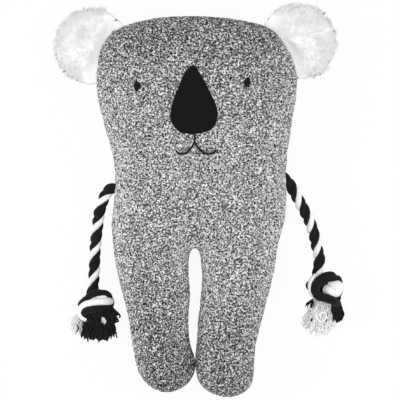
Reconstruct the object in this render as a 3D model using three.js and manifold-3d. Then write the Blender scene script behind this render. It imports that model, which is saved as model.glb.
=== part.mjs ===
// Plush koala with rope arms, lying on its back with its face up.
// Millimetres. +Z points out of the face, +Y towards the top of the head, +X to the viewer's right.
// The origin is on the floor, under the middle of the toy.

import * as THREE from 'three';
import { mergeVertices } from 'three/addons/utils/BufferGeometryUtils.js';
import Module from 'manifold-3d';

const wasm = await Module();
wasm.setup();

// Cover and stuffing: head, trunk and legs are cut as one front and one back panel
const head_width = 174;
const head_length = 126;
const trunk_width = 150;
const trunk_length = 74.8;
const leg_width = 66;
const leg_length = 132.7;
const left_leg_length = 128.3;
const body_thickness = 70;
const leg_thickness = 52;
const crease_length = 46;
const cover_thickness = 2.2;

// Hips: the stuffing is parted by a round knuckle, about which the leg folds
const hip_length = 40;
const knuckle_clearance = 3;

// Ears of long white pile, sewn into the side seam at the corners of the head
const ear_diameter = 68;
const ear_thickness = 16;
const ear_cloth_thickness = 2;
const ear_rise = 11.6;
const ear_root_thickness = 1.6;
const ear_root_gap = 0.9;
const ear_opening_angle = 35;
const left_ear_angle = 160;
const left_ear_reach = 6.5;
const left_ear_slide = 0.3;
const right_ear_angle = 29;
const right_ear_reach = 10.4;
const right_ear_slide = 2.4;

// Face: a cloth nose and embroidered eyes and mouth
const nose_width = 40.5;
const nose_height = 59.3;
const nose_thickness = 1.2;
const eye_width = 5.4;
const eye_height = 7.4;
const stitch_height = 0.9;
const mouth_width = 36.1;
const mouth_height = 17.5;
const mouth_line_width = 1.3;

// Rope through the shoulders, with a knot and a frayed end on each arm
const rope_diameter = 10;
const knot_width = 34;
const knot_length = 27;
const knot_thickness = 26;
const left_fray_length = 20;
const right_fray_length = 30;
const fray_width = 31;
const fray_thickness = 20;
const fray_neck_diameter = 12;
const left_knot_angle = 3.4;
const right_knot_angle = -5.7;
const knot_turn_angle = 7.5;

// Squeaker buried in the stuffing under the rope
const squeaker_diameter = 36;
const squeaker_height = 18;
const squeaker_wall = 1.2;
const squeaker_neck_diameter = 11;
const squeaker_neck_height = 3;
const reed_bore = 2.4;
const reed_flange_thickness = 1.2;
const pocket_mouth_width = 10;

// Clearance between pieces that touch, depth of the flat on which a soft form rests, reach of the cuts
const fit_gap = 0.3;
const rest_flat_depth = 0.5;
const cut_reach = 300;

// Rows of the outline: how far along, then the left and right edge and the half thickness.
// Trunk rows run from the crotch to the neck, head rows from the neck to the crown.
const trunk_row_shares = [
  [0, -0.957, 0.948, 0.886],
  [0.345, -0.967, 1.04, 0.93],
  [0.69, -0.93, 1.06, 0.93],
  [1, -0.947, 1.055, 0.93],
];
const head_row_shares = [
  [0.235, -0.903, 0.957, 0.97],
  [0.456, -0.978, 1.003, 1],
  [0.572, -0.983, 1.014, 1],
  [0.711, -0.96, 0.957, 0.97],
  [0.814, -0.906, 0.869, 0.87],
  [0.894, -0.81, 0.793, 0.71],
  [0.94, -0.653, 0.637, 0.555],
  [0.977, -0.44, 0.345, 0.35],
  [1, -0.053, -0.053, 0],
];
// Leg rows run from the crotch to the sole: outer edge, inner edge and half thickness
const left_leg_row_shares = [
  [0, 1.088, 0.008, 1.19],
  [0.035, 1.075, 0.075, 1.18],
  [0.08, 1.059, 0.091, 1.17],
  [0.203, 1.012, 0.085, 1.12],
  [0.326, 0.953, 0.056, 1.07],
  [0.488, 0.874, 0.094, 1.02],
  [0.651, 0.835, 0.083, 1],
  [0.773, 0.795, 0.023, 0.99],
  [0.854, 0.758, 0.004, 0.96],
  [0.914, 0.682, 0.058, 0.86],
  [0.96, 0.598, 0.144, 0.68],
  [0.988, 0.492, 0.265, 0.42],
  [1, 0.386, 0.386, 0],
];
const right_leg_row_shares = [
  [0, 1.077, 0.008, 1.19],
  [0.035, 1.072, 0.062, 1.18],
  [0.077, 1.064, 0.071, 1.17],
  [0.197, 1.018, 0.088, 1.12],
  [0.315, 0.958, 0.07, 1.07],
  [0.472, 0.879, 0.041, 1.02],
  [0.629, 0.8, 0.018, 1],
  [0.748, 0.78, 0.011, 0.99],
  [0.826, 0.782, 0.015, 0.97],
  [0.905, 0.761, 0.048, 0.87],
  [0.944, 0.708, 0.115, 0.72],
  [0.983, 0.589, 0.273, 0.42],
  [1, 0.43, 0.43, 0],
];
// Points across a row, from its middle to its edge
const trunk_column_shares = [0.08, 0.3, 0.54, 0.74, 0.89, 0.975, 1];
const leg_column_shares = [0.25, 0.55, 0.8, 0.95, 1];
const ear_column_shares = [0.35, 0.75, 0.95, 1];
const trunk_squareness_share = 2.5;
const leg_squareness_share = 2.2;
const ear_squareness_share = 4;
const crease_depth_share = 0.97;
const crease_place_limit_share = 0.5;

// Nose outline, from the point on top down the left side and back up the right side
const nose_outline_shares = [
  [-0.054, 1],
  [-0.232, 0.859],
  [-0.331, 0.691],
  [-0.439, 0.51],
  [-0.505, 0.3],
  [-0.488, 0.196],
  [-0.415, 0.095],
  [-0.267, 0.023],
  [0.011, 0],
  [0.292, 0.045],
  [0.426, 0.119],
  [0.49, 0.24],
  [0.458, 0.421],
  [0.292, 0.667],
  [0.178, 0.814],
  [0.047, 0.959],
];
const nose_place_shares = [-0.008, 0.181];
const left_eye_place_shares = [-0.583, 0.516];
const right_eye_place_shares = [0.518, 0.537];
// Mouth lines, down from the nose: a stem and two hooks
const mouth_stem_shares = [
  [0, 0.02],
  [0.01, 0.28],
  [0, 0.5],
];
const mouth_left_shares = [
  [0, 0.44],
  [-0.053, 0.667],
  [-0.161, 0.91],
  [-0.272, 1],
  [-0.402, 0.95],
  [-0.484, 0.81],
];
const mouth_right_shares = [
  [0, 0.44],
  [0.113, 0.761],
  [0.224, 0.95],
  [0.335, 1],
  [0.446, 0.91],
  [0.516, 0.781],
];

// Knot: how much of it the core fills. Frayed end: how far down, half width and half thickness.
const knot_core_share = 0.42;
const fray_stage_shares = [
  [0.35, 0.32, 0.4],
  [0.75, 0.5, 0.5],
  [0.93, 0.44, 0.42],
  [1, 0.3, 0.25],
];

// Rope routes, chosen by hand. The first point of an arm is where it bends at the shoulder.
const left_arm_route = [
  [-76.4, 7.4, 33.5],
  [-81.1, -1.9, 31.4],
  [-84.0, -11.6, 27.6],
  [-86.0, -25.0, 22.4],
  [-87.5, -36.5, 18.3],
  [-88.6, -48.5, 14.8],
  [-88.9, -59.3, 12.9],
  [-87.9, -69.4, 12.6],
  [-86.9, -81.5, 13.0],
];
const right_arm_route = [
  [86.0, 7.3, 33.5],
  [91.2, -1.9, 31.3],
  [97.0, -12.5, 27.5],
  [101.3, -21.5, 23.8],
  [104.4, -31.0, 19.8],
  [106.9, -41.5, 16.2],
  [109.4, -51.5, 13.7],
  [111.8, -60.4, 12.8],
  [113.2, -67.0, 13.0],
];
const shoulder_route = [
  [-76.4, 7.4, 33.5],
  [-69.5, 11.9, 34.1],
  [-58.0, 17.0, 34.5],
  [-34.0, 23.5, 34.5],
  [0.0, 27.0, 34.5],
  [36.0, 30.0, 34.5],
  [60.0, 28.5, 34.5],
  [73.5, 22.5, 34.5],
  [80.9, 15.6, 34.1],
  [86.0, 7.3, 33.5],
];

// Places that follow from the sizes
const overall_length = leg_length + trunk_length + head_length + ear_rise;
const crotch_y = leg_length - overall_length / 2;
const neck_y = crotch_y + trunk_length;
const mid_z = body_thickness / 2 - rest_flat_depth;
const hip_axis_y = crotch_y - hip_length / 2;
const rope_radius = rope_diameter / 2;
const filling_inset = cover_thickness + fit_gap;

// A closed geometry becomes a solid once its corners are merged
function to_solid(geometry) {
  const bare = geometry.clone();
  bare.deleteAttribute('normal');
  bare.deleteAttribute('uv');
  const merged = face_out(mergeVertices(bare));
  const points = merged.attributes.position.array;
  const corners = new Uint32Array(merged.index.array);
  return new wasm.Manifold(new wasm.Mesh({ numProp: 3, vertProperties: points, triVerts: corners }));
}

function to_geometry(solid) {
  const mesh = solid.getMesh();
  const geometry = new THREE.BufferGeometry();
  geometry.setAttribute('position', new THREE.BufferAttribute(mesh.vertProperties, mesh.numProp));
  geometry.setIndex(new THREE.BufferAttribute(mesh.triVerts, 1));
  return geometry;
}

// Skin over a stack of rings. An end ring closes with a flat cap about its middle.
function loft(rings) {
  const count = rings[0].length;
  const points = rings.flat().flatMap((p) => [p.x, p.y, p.z]);
  const faces = [];
  for (let row = 0; row < rings.length - 1; row += 1) {
    for (let column = 0; column < count; column += 1) {
      const a = row * count + column;
      const b = row * count + ((column + 1) % count);
      faces.push(a, b, a + count, b, b + count, a + count);
    }
  }
  for (const end of [0, rings.length - 1]) {
    const middle = rings[end].reduce((sum, p) => sum.add(p), new THREE.Vector3());
    middle.divideScalar(count);
    const hub = points.length / 3;
    points.push(middle.x, middle.y, middle.z);
    for (let column = 0; column < count; column += 1) {
      const a = end * count + column;
      const b = end * count + ((column + 1) % count);
      faces.push(...(end === 0 ? [b, a, hub] : [a, b, hub]));
    }
  }
  const geometry = new THREE.BufferGeometry();
  geometry.setAttribute('position', new THREE.Float32BufferAttribute(points, 3));
  geometry.setIndex(faces);
  return drop_flat_faces(mergeVertices(geometry));
}

// Rings that shrink to a point leave faces without area, which go
function drop_flat_faces(geometry) {
  const corners = geometry.index.array;
  const kept = [];
  for (let i = 0; i < corners.length; i += 3) {
    const [a, b, c] = [corners[i], corners[i + 1], corners[i + 2]];
    if (a !== b && b !== c && c !== a) {
      kept.push(a, b, c);
    }
  }
  geometry.setIndex(kept);
  return face_out(geometry);
}

// Turn the faces round if they point into the body
function face_out(geometry) {
  const corners = geometry.index.array;
  const at = geometry.attributes.position;
  const [a, b, c] = [new THREE.Vector3(), new THREE.Vector3(), new THREE.Vector3()];
  let volume = 0;
  for (let i = 0; i < corners.length; i += 3) {
    a.fromBufferAttribute(at, corners[i]);
    b.fromBufferAttribute(at, corners[i + 1]);
    c.fromBufferAttribute(at, corners[i + 2]);
    volume += a.dot(b.cross(c));
  }
  if (volume < 0) {
    const turned = [];
    for (let i = 0; i < corners.length; i += 3) {
      turned.push(corners[i], corners[i + 2], corners[i + 1]);
    }
    geometry.setIndex(turned);
  }
  return geometry;
}

// The same form with its surface moved out by a distance, or in where that is negative
function moved_skin(geometry, distance) {
  const moved = geometry.clone();
  moved.computeVertexNormals();
  const at = moved.attributes.position;
  const normal = moved.attributes.normal;
  for (let i = 0; i < at.count; i += 1) {
    at.setXYZ(
      i,
      at.getX(i) + distance * normal.getX(i),
      at.getY(i) + distance * normal.getY(i),
      at.getZ(i) + distance * normal.getZ(i),
    );
  }
  return to_solid(moved);
}

// A block between two places along Y, whose floor and roof follow given heights
function block(y_low, y_high, floor_at, roof_at) {
  const corner = (x, y, z) => new THREE.Vector3(x, y, z);
  const ring = (y) => [
    corner(-cut_reach, y, floor_at(y)),
    corner(cut_reach, y, floor_at(y)),
    corner(cut_reach, y, roof_at(y)),
    corner(-cut_reach, y, roof_at(y)),
  ];
  return to_solid(loft([ring(y_low), ring(y_high)]));
}

const above_floor = () => 0;
const far_up = () => cut_reach;
const far_down = () => -cut_reach;

// An upright prism over a closed outline in the plane of the face
function upright_prism(outline) {
  const shape = new THREE.Shape(outline);
  const geometry = new THREE.ExtrudeGeometry(shape, { depth: cut_reach, bevelEnabled: false });
  return to_solid(geometry);
}

function tube(points, radius, sides, steps) {
  const section = new THREE.Shape();
  for (let side = 0; side < sides; side += 1) {
    const turn = (side / sides) * 2 * Math.PI;
    const corner = [radius * Math.cos(turn), radius * Math.sin(turn)];
    if (side === 0) {
      section.moveTo(...corner);
    } else {
      section.lineTo(...corner);
    }
  }
  const route = new THREE.CatmullRomCurve3(points.map((p) => new THREE.Vector3(...p)));
  return to_solid(new THREE.ExtrudeGeometry(section, { steps, extrudePath: route, bevelEnabled: false }));
}

function ball(radius, centre) {
  const geometry = new THREE.SphereGeometry(radius, 8, 6);
  geometry.translate(...centre);
  return to_solid(geometry);
}

const finish = {
  cover: new THREE.MeshStandardMaterial({ color: 0x9a9896, roughness: 0.95 }),
  filling: new THREE.MeshStandardMaterial({ color: 0xf4f3ee, roughness: 1 }),
  pile: new THREE.MeshStandardMaterial({ color: 0xf0edee, roughness: 0.95 }),
  nose: new THREE.MeshStandardMaterial({ color: 0x1d1b1e, roughness: 0.8 }),
  thread: new THREE.MeshStandardMaterial({ color: 0x141315, roughness: 0.6 }),
  rope: new THREE.MeshStandardMaterial({ color: 0x3a393b, roughness: 0.9 }),
  knot: new THREE.MeshStandardMaterial({ color: 0x2c2b2d, roughness: 0.9 }),
  yarn: new THREE.MeshStandardMaterial({ color: 0x6e6d6f, roughness: 0.95 }),
  plastic: new THREE.MeshStandardMaterial({ color: 0xdfe3e6, roughness: 0.4 }),
};

const koala = new THREE.Group();

function add_piece(name, solid, material) {
  const mesh = new THREE.Mesh(to_geometry(solid), material);
  mesh.name = name;
  koala.add(mesh);
}

// Trunk and head

function row_to_point(edge, row, width, start, length) {
  return new THREE.Vector3((row[edge] * width) / 2, start + row[0] * length, (row[3] * body_thickness) / 2);
}

function side_curve(edge) {
  const trunk = trunk_row_shares.map((row) => row_to_point(edge, row, trunk_width, crotch_y, trunk_length));
  const head = head_row_shares.map((row) => row_to_point(edge, row, head_width, neck_y, head_length));
  return new THREE.CatmullRomCurve3([...trunk, ...head]);
}

const left_side = side_curve(1);
const right_side = side_curve(2);

function two_sided(half_shares) {
  return [...half_shares].reverse().map((share) => -share).concat(half_shares);
}

// Height over the mid-plane at a share u of the row. Near the crotch a crease parts the two hips.
function trunk_profile(u, crease_u, y) {
  const fade = Math.max(0, 1 - (y - crotch_y) / crease_length);
  const crease = Math.min(crease_depth_share, crease_depth_share * fade * fade);
  const hip_u = u < crease_u ? (2 * (u + 1)) / (crease_u + 1) - 1 : (2 * (1 - u)) / (1 - crease_u) - 1;
  const whole = 1 - Math.abs(u) ** trunk_squareness_share;
  const parted = 1 - Math.abs(hip_u) ** leg_squareness_share;
  return Math.sqrt(Math.max(0, (1 - crease) * whole + crease * parted));
}

// The crease lies in the plane between the legs, but stays clear of a row's ends
function crease_place(middle_share) {
  return THREE.MathUtils.clamp(-middle_share, -crease_place_limit_share, crease_place_limit_share);
}

function closed_ring(top, mid_at) {
  const under = top.slice(1, -1).reverse();
  return [...top, ...under.map((p) => new THREE.Vector3(p.x, p.y, 2 * mid_at(p.y) - p.z))];
}

function trunk_form() {
  const steps = 15;
  const rings = [];
  for (let step = -1; step <= steps; step += 1) {
    const share = Math.max(step, 0) / steps;
    const left = left_side.getPoint(share);
    const right = right_side.getPoint(share);
    const spare = step < 0 ? fit_gap + cover_thickness * 2 : 0;
    const middle = left.clone().add(right).multiplyScalar(0.5);
    const half_width = (right.x - left.x) / 2;
    const crease_u = half_width > 0 ? crease_place(middle.x / half_width) : 0;
    const top = two_sided(trunk_column_shares).map((u) => {
      const y = THREE.MathUtils.lerp(left.y, right.y, (u + 1) / 2);
      const height = middle.z * trunk_profile(u, crease_u, y);
      return new THREE.Vector3(middle.x + u * half_width, y - spare, mid_z + height);
    });
    rings.push(closed_ring(top, () => mid_z));
  }
  return loft(rings);
}

const mid_at_trunk = () => mid_z;
const trunk_skin = trunk_form();
const trunk_outside = to_solid(trunk_skin);
const trunk_inside = moved_skin(trunk_skin, -cover_thickness);
const trunk_core = moved_skin(trunk_skin, -filling_inset);
const trunk_reach = block(crotch_y, cut_reach, above_floor, far_up);

const front_half = block(-cut_reach, cut_reach, () => mid_z + fit_gap / 2, far_up);
const back_half = block(-cut_reach, cut_reach, far_down, () => mid_z - fit_gap / 2);
const rope_hole = tube(shoulder_route, rope_radius + fit_gap, 8, 9);
const trunk_cover = trunk_outside.subtract(trunk_inside).intersect(trunk_reach).subtract(rope_hole);

add_piece('front_panel_body', trunk_cover.intersect(front_half), finish.cover);
add_piece('back_panel_body', trunk_cover.intersect(back_half), finish.cover);

// Legs: each is one form from the crotch to the sole, parted into a hip that folds and a leg

function leg_curve(side, edge, shares, length) {
  const points = shares.map((row) => new THREE.Vector3(
    side * row[edge] * leg_width,
    crotch_y - row[0] * length,
    (row[3] * leg_thickness) / 2,
  ));
  return new THREE.CatmullRomCurve3(points);
}

// The leg slopes down from the hip until it lies on the floor
function slope_to_floor(shares, length) {
  const fullness = Math.sqrt(1 - leg_column_shares[0] ** leg_squareness_share);
  const rows = shares.filter((row) => row[0] > 0);
  const slopes = rows.map((row) => {
    const half = (fullness * row[3] * leg_thickness) / 2;
    return (mid_z - half + rest_flat_depth) / (row[0] * length);
  });
  return Math.min(...slopes);
}

function leg_form(side, shares, length, mid_at) {
  const steps = shares.length - 1;
  const outer = leg_curve(side, 1, shares, length);
  const inner = leg_curve(side, 2, shares, length);
  const rings = [];
  for (let step = -1; step <= steps; step += 1) {
    const share = Math.max(step, 0) / steps;
    const [from, to] = [outer.getPoint(share), inner.getPoint(share)];
    const spare = step < 0 ? fit_gap + cover_thickness * 2 : 0;
    const top = two_sided(leg_column_shares).map((u) => {
      const across = (u + 1) / 2;
      const height = THREE.MathUtils.lerp(from.z, to.z, across);
      const y = THREE.MathUtils.lerp(from.y, to.y, across) + spare;
      const rise = height * Math.sqrt(1 - Math.abs(u) ** leg_squareness_share);
      return new THREE.Vector3(THREE.MathUtils.lerp(from.x, to.x, across), y, mid_at(y) + rise);
    });
    rings.push(closed_ring(top, mid_at));
  }
  return loft(rings);
}

// Round end of the body's stuffing, a barrel about the hip's axis
function knuckle(side, shares, length, extra) {
  const outer_points = leg_curve(side, 1, shares, length).getPoints(60);
  const inner_points = leg_curve(side, 2, shares, length).getPoints(60);
  const hip_end = outer_points.findIndex((point) => crotch_y - point.y >= hip_length);
  const [from, to] = [outer_points[hip_end], inner_points[hip_end]];
  const half_length = Math.abs(from.x - to.x) / 2 - cover_thickness - knuckle_clearance + extra;
  const radius = from.z - cover_thickness - knuckle_clearance + extra;
  const profile = [];
  const steps = 8;
  for (let step = 0; step <= steps; step += 1) {
    const turn = (Math.PI * step) / steps;
    const along = Math.sign(Math.cos(turn)) * Math.abs(Math.cos(turn)) ** (2 / leg_squareness_share);
    profile.push(new THREE.Vector2(step % steps === 0 ? 0 : radius * Math.sin(turn), -half_length * along));
  }
  const geometry = new THREE.LatheGeometry(profile, 18);
  geometry.rotateZ(-Math.PI / 2);
  return { geometry, centre_x: (from.x + to.x) / 2 };
}

function placed_knuckle(side, shares, length, extra, axis_z) {
  const { geometry, centre_x } = knuckle(side, shares, length, extra);
  geometry.translate(centre_x, hip_axis_y, axis_z);
  return to_solid(geometry);
}

const leg_top_y = crotch_y - hip_length;
const socket_gap = 3 * fit_gap;

function add_leg(name, side, shares, length) {
  const slope = slope_to_floor(shares, length);
  const mid_at = (y) => mid_z - slope * Math.max(0, crotch_y - y);
  const skin = leg_form(side, shares, length, mid_at);
  const cover = to_solid(skin).subtract(moved_skin(skin, -cover_thickness));
  const hip_reach = block(leg_top_y + fit_gap / 2, crotch_y - fit_gap, above_floor, far_up);
  const leg_reach = block(-cut_reach, leg_top_y - fit_gap / 2, above_floor, far_up);
  const front = block(-cut_reach, crotch_y, (y) => mid_at(y) + fit_gap / 2, far_up);
  const back = block(-cut_reach, crotch_y, far_down, (y) => mid_at(y) - fit_gap / 2);
  for (const [half, cut] of [['front', front], ['back', back]]) {
    add_piece(`${half}_panel_${name}_hip`, cover.intersect(hip_reach).intersect(cut), finish.cover);
    add_piece(`${half}_panel_${name}_leg`, cover.intersect(leg_reach).intersect(cut), finish.cover);
  }
  const axis_z = mid_at(hip_axis_y);
  const socket = placed_knuckle(side, shares, length, socket_gap, axis_z);
  const stuffing = moved_skin(skin, -filling_inset).intersect(leg_reach).subtract(socket);
  add_piece(`${name}_leg_filling`, stuffing, finish.filling);
  return placed_knuckle(side, shares, length, 0, axis_z);
}

const left_knuckle = add_leg('left', -1, left_leg_row_shares, left_leg_length);
const right_knuckle = add_leg('right', 1, right_leg_row_shares, leg_length);

// Squeaker: a hollow bulb, open at its neck, with a reed pushed in

const rope_middle = shoulder_route[4];
const squeaker_radius = squeaker_diameter / 2;
const neck_radius = squeaker_neck_diameter / 2;
const squeaker_y = rope_middle[1] - rope_radius - 2 * fit_gap - squeaker_radius;
const squeaker_place = [rope_middle[0], squeaker_y, mid_z - squeaker_neck_height / 2];

function lathe_piece(profile, segments) {
  const geometry = new THREE.LatheGeometry(profile.map((p) => new THREE.Vector2(...p)), segments);
  geometry.rotateX(Math.PI / 2);
  geometry.translate(...squeaker_place);
  return to_solid(geometry);
}

function squeaker_bulb() {
  const half = squeaker_height / 2;
  const wall = squeaker_wall;
  const shoulder_radius = squeaker_radius - half / 2;
  return lathe_piece([
    [0, -half],
    [shoulder_radius, -half],
    [squeaker_radius, -half / 2],
    [squeaker_radius, half / 2],
    [shoulder_radius, half],
    [neck_radius, half],
    [neck_radius, half + squeaker_neck_height],
    [neck_radius - wall, half + squeaker_neck_height],
    [neck_radius - wall, half - wall],
    [shoulder_radius - wall / 2, half - wall],
    [squeaker_radius - wall, half / 2 - wall / 2],
    [squeaker_radius - wall, -half / 2 + wall / 2],
    [shoulder_radius - wall / 2, -half + wall],
    [0, -half + wall],
  ], 16);
}

function squeaker_reed() {
  const top = squeaker_height / 2 + squeaker_neck_height + fit_gap;
  const stem_radius = neck_radius - squeaker_wall - fit_gap;
  return lathe_piece([
    [reed_bore / 2, top + reed_flange_thickness],
    [neck_radius, top + reed_flange_thickness],
    [neck_radius, top],
    [stem_radius, top],
    [stem_radius, top - squeaker_neck_height - squeaker_wall],
    [reed_bore / 2, top - squeaker_neck_height - squeaker_wall],
    [reed_bore / 2, top + reed_flange_thickness],
  ], 12);
}

// Pocket for the squeaker, with a mouth into the rope's channel
function squeaker_pocket() {
  const half = squeaker_height / 2 + fit_gap;
  const top = half + squeaker_neck_height + reed_flange_thickness + fit_gap;
  const shoulder_radius = squeaker_radius - squeaker_height / 4 + fit_gap;
  const pocket = lathe_piece([
    [0, -half],
    [shoulder_radius, -half],
    [squeaker_radius + fit_gap, -half / 2],
    [squeaker_radius + fit_gap, half / 2],
    [shoulder_radius, half],
    [neck_radius + fit_gap, half],
    [neck_radius + fit_gap, top],
    [0, top],
  ], 16);
  const mouth = new THREE.BoxGeometry(pocket_mouth_width, rope_diameter, pocket_mouth_width);
  mouth.translate(rope_middle[0], rope_middle[1] - rope_radius, mid_z);
  return pocket.add(to_solid(mouth));
}

const body_stuffing = trunk_core
  .intersect(trunk_reach)
  .add(left_knuckle)
  .add(right_knuckle)
  .subtract(rope_hole)
  .subtract(squeaker_pocket());
add_piece('body_filling', body_stuffing, finish.filling);
add_piece('squeaker_bulb', squeaker_bulb(), finish.plastic);
add_piece('squeaker_reed', squeaker_reed(), finish.plastic);

// Face: flat pieces lie on the cover and follow its swell

function cloth_on_face(outline_solid, thickness) {
  const under = moved_skin(trunk_skin, fit_gap);
  const over = moved_skin(trunk_skin, fit_gap + thickness);
  return over.subtract(under).intersect(outline_solid).intersect(front_half);
}

const smooth_outline = (points, count) => new THREE.SplineCurve([...points, points[0]]).getPoints(count);

const nose_x = (nose_place_shares[0] * head_width) / 2;
const nose_y = neck_y + nose_place_shares[1] * head_length;

function nose_prism() {
  const points = nose_outline_shares.map(([across, up]) => (
    new THREE.Vector2(nose_x + across * nose_width, nose_y + up * nose_height)
  ));
  return upright_prism(smooth_outline(points, 32).slice(0, -1));
}

function eye_prism(place_shares) {
  const eye_x = (place_shares[0] * head_width) / 2;
  const eye_y = neck_y + place_shares[1] * head_length;
  const oval = new THREE.EllipseCurve(eye_x, eye_y, eye_width / 2, eye_height / 2);
  return upright_prism(oval.getPoints(16).slice(0, -1));
}

// A line of stitches, as wide as the thread is laid
function stitch_prism(shares) {
  const points = shares.map(([across, down]) => (
    new THREE.Vector2(nose_x + across * mouth_width, nose_y - down * mouth_height)
  ));
  const line = new THREE.SplineCurve(points);
  const steps = 8;
  const [one_side, other_side] = [[], []];
  for (let step = 0; step <= steps; step += 1) {
    const place = line.getPoint(step / steps);
    const heading = line.getTangent(step / steps);
    const aside = new THREE.Vector2(-heading.y, heading.x).multiplyScalar(mouth_line_width / 2);
    one_side.push(place.clone().add(aside));
    other_side.push(place.clone().sub(aside));
  }
  return upright_prism([...one_side, ...other_side.reverse()]);
}

const mouth_prism = stitch_prism(mouth_stem_shares)
  .add(stitch_prism(mouth_left_shares))
  .add(stitch_prism(mouth_right_shares));

add_piece('nose_patch', cloth_on_face(nose_prism(), nose_thickness), finish.nose);
add_piece('left_eye', cloth_on_face(eye_prism(left_eye_place_shares), stitch_height), finish.thread);
add_piece('right_eye', cloth_on_face(eye_prism(right_eye_place_shares), stitch_height), finish.thread);
add_piece('mouth_stitch', cloth_on_face(mouth_prism, stitch_height), finish.thread);

// Ears: a round pad that opens from a thin root along the head's side seam

const head_outline = [];
for (const [side, reversed] of [[left_side, false], [right_side, true]]) {
  const points = side.getPoints(24).map((p) => new THREE.Vector2(p.x, p.y));
  head_outline.push(...(reversed ? points.reverse().slice(1) : points));
}

// The head's outline, moved out by a gap
function grown_outline(gap) {
  const count = head_outline.length;
  return head_outline.map((point, i) => {
    const before = head_outline[(i + count - 1) % count];
    const after = head_outline[(i + 1) % count];
    const heading = after.clone().sub(before).normalize();
    return point.clone().add(new THREE.Vector2(-heading.y, heading.x).multiplyScalar(gap));
  });
}

const ear_radius = ear_diameter / 2;

function ear_half_thickness(from_axis, out_share) {
  const opening = Math.tan(THREE.MathUtils.degToRad(ear_opening_angle));
  const wedge = ear_root_thickness / 2 + opening * Math.max(0, from_axis);
  const edge = Math.max(0, 1 - Math.abs(out_share) ** ear_squareness_share);
  const pad = (ear_thickness / 2) * Math.sqrt(edge);
  return Math.min(wedge, pad);
}

// Rows run across the ear, from its root outwards. A shrunk pad lies inside the ear's cloth.
function ear_pad(place, shrink) {
  const steps = 9;
  const radius = ear_radius - shrink;
  const opening = Math.tan(THREE.MathUtils.degToRad(ear_opening_angle));
  const thin_at = shrink / opening + (shrink > 0 ? fit_gap : 0);
  const start = shrink > 0 ? thin_at - place.reach : -ear_radius / 2 - place.reach;
  const rings = [];
  for (let step = 0; step <= steps; step += 1) {
    const turn = (Math.PI / 2) * (step / steps);
    const out = start + (radius - start) * Math.sin(turn);
    const chord = Math.sqrt(Math.max(0, radius * radius - out * out));
    const half = step === steps ? 0 : ear_half_thickness(place.reach + out, out / radius) - shrink;
    const top = two_sided(ear_column_shares).map((u) => {
      const rise = Math.max(0, half) * Math.sqrt(1 - Math.abs(u) ** trunk_squareness_share);
      const at = place.centre.clone()
        .addScaledVector(place.out, out)
        .addScaledVector(place.along, u * chord);
      return new THREE.Vector3(at.x, at.y, mid_z + rise);
    });
    rings.push(closed_ring(top, mid_at_trunk));
  }
  return to_solid(loft(rings));
}

function ear_place(angle, reach, slide) {
  const turn = THREE.MathUtils.degToRad(angle);
  const out = new THREE.Vector2(Math.cos(turn), Math.sin(turn));
  const along = new THREE.Vector2(-out.y, out.x);
  const root = head_outline.reduce((best, point) => (point.dot(out) > best.dot(out) ? point : best));
  const axis_point = root.clone().addScaledVector(out, ear_root_gap);
  const centre = axis_point.clone().addScaledVector(out, reach).addScaledVector(along, slide);
  return { out, along, reach, centre };
}

function add_ear(name, place) {
  const head_space = upright_prism(grown_outline(ear_root_gap));
  const outside = ear_pad(place, 0).subtract(head_space);
  const cloth = outside.subtract(ear_pad(place, ear_cloth_thickness));
  const pad = ear_pad(place, ear_cloth_thickness + fit_gap);
  add_piece(`${name}_ear_front_panel`, cloth.intersect(front_half), finish.pile);
  add_piece(`${name}_ear_back_panel`, cloth.intersect(back_half), finish.pile);
  add_piece(`${name}_ear_filling`, pad, finish.filling);
}

add_ear('left', ear_place(left_ear_angle, left_ear_reach, left_ear_slide));
add_ear('right', ear_place(right_ear_angle, right_ear_reach, right_ear_slide));

// Rope arms

const shoulder_rope = tube(shoulder_route, rope_radius, 8, 9)
  .add(ball(rope_radius, shoulder_route[0]))
  .add(ball(rope_radius, shoulder_route[shoulder_route.length - 1]));
add_piece('body_rope', shoulder_rope, finish.rope);

// The arm starts with a round end, a gap away from the round end at the shoulder
function arm_points(route) {
  const shoulder = new THREE.Vector3(...route[0]);
  const heading = new THREE.Vector3(...route[1]).sub(shoulder).normalize();
  const start = shoulder.addScaledVector(heading, rope_diameter + fit_gap);
  return [start.toArray(), ...route.slice(2)];
}

// A ring of rope round the knot, squashed as the knot is and tilted across it
function knot_turn(rise) {
  const ring = new THREE.TorusGeometry(knot_width / 2 - rope_radius, rope_radius, 6, 12);
  ring.rotateX(Math.PI / 2);
  ring.scale(1, 1, knot_thickness / knot_width);
  ring.rotateZ(THREE.MathUtils.degToRad(knot_turn_angle));
  ring.translate(0, rise, 0);
  return to_solid(ring);
}

function knot_form() {
  const core = new THREE.SphereGeometry(1, 12, 7);
  core.scale(knot_width * knot_core_share, knot_length / 2, knot_thickness * knot_core_share);
  const rise = knot_length / 2 - rope_radius;
  return to_solid(core).add(knot_turn(rise)).add(knot_turn(-rise));
}

// Combed-out strands below the knot, widening to a blunt end, and grown by a gap
function fray_form(length, gap) {
  const drop = (knot_thickness - fray_thickness) / 2;
  const stages = [[0, fray_neck_diameter / 2, fray_neck_diameter / 2]];
  for (const [share, across, up] of fray_stage_shares) {
    stages.push([share, across * fray_width, up * fray_thickness]);
  }
  const rings = stages.map(([share, half_width, half_height]) => {
    const oval = new THREE.EllipseCurve(0, 0, half_width + gap, half_height + gap);
    const ring = oval.getPoints(16).slice(0, -1);
    return ring.map((p) => new THREE.Vector3(p.x, -share * (length + rope_radius), p.y - share * drop));
  });
  return to_solid(loft(rings));
}

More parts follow.
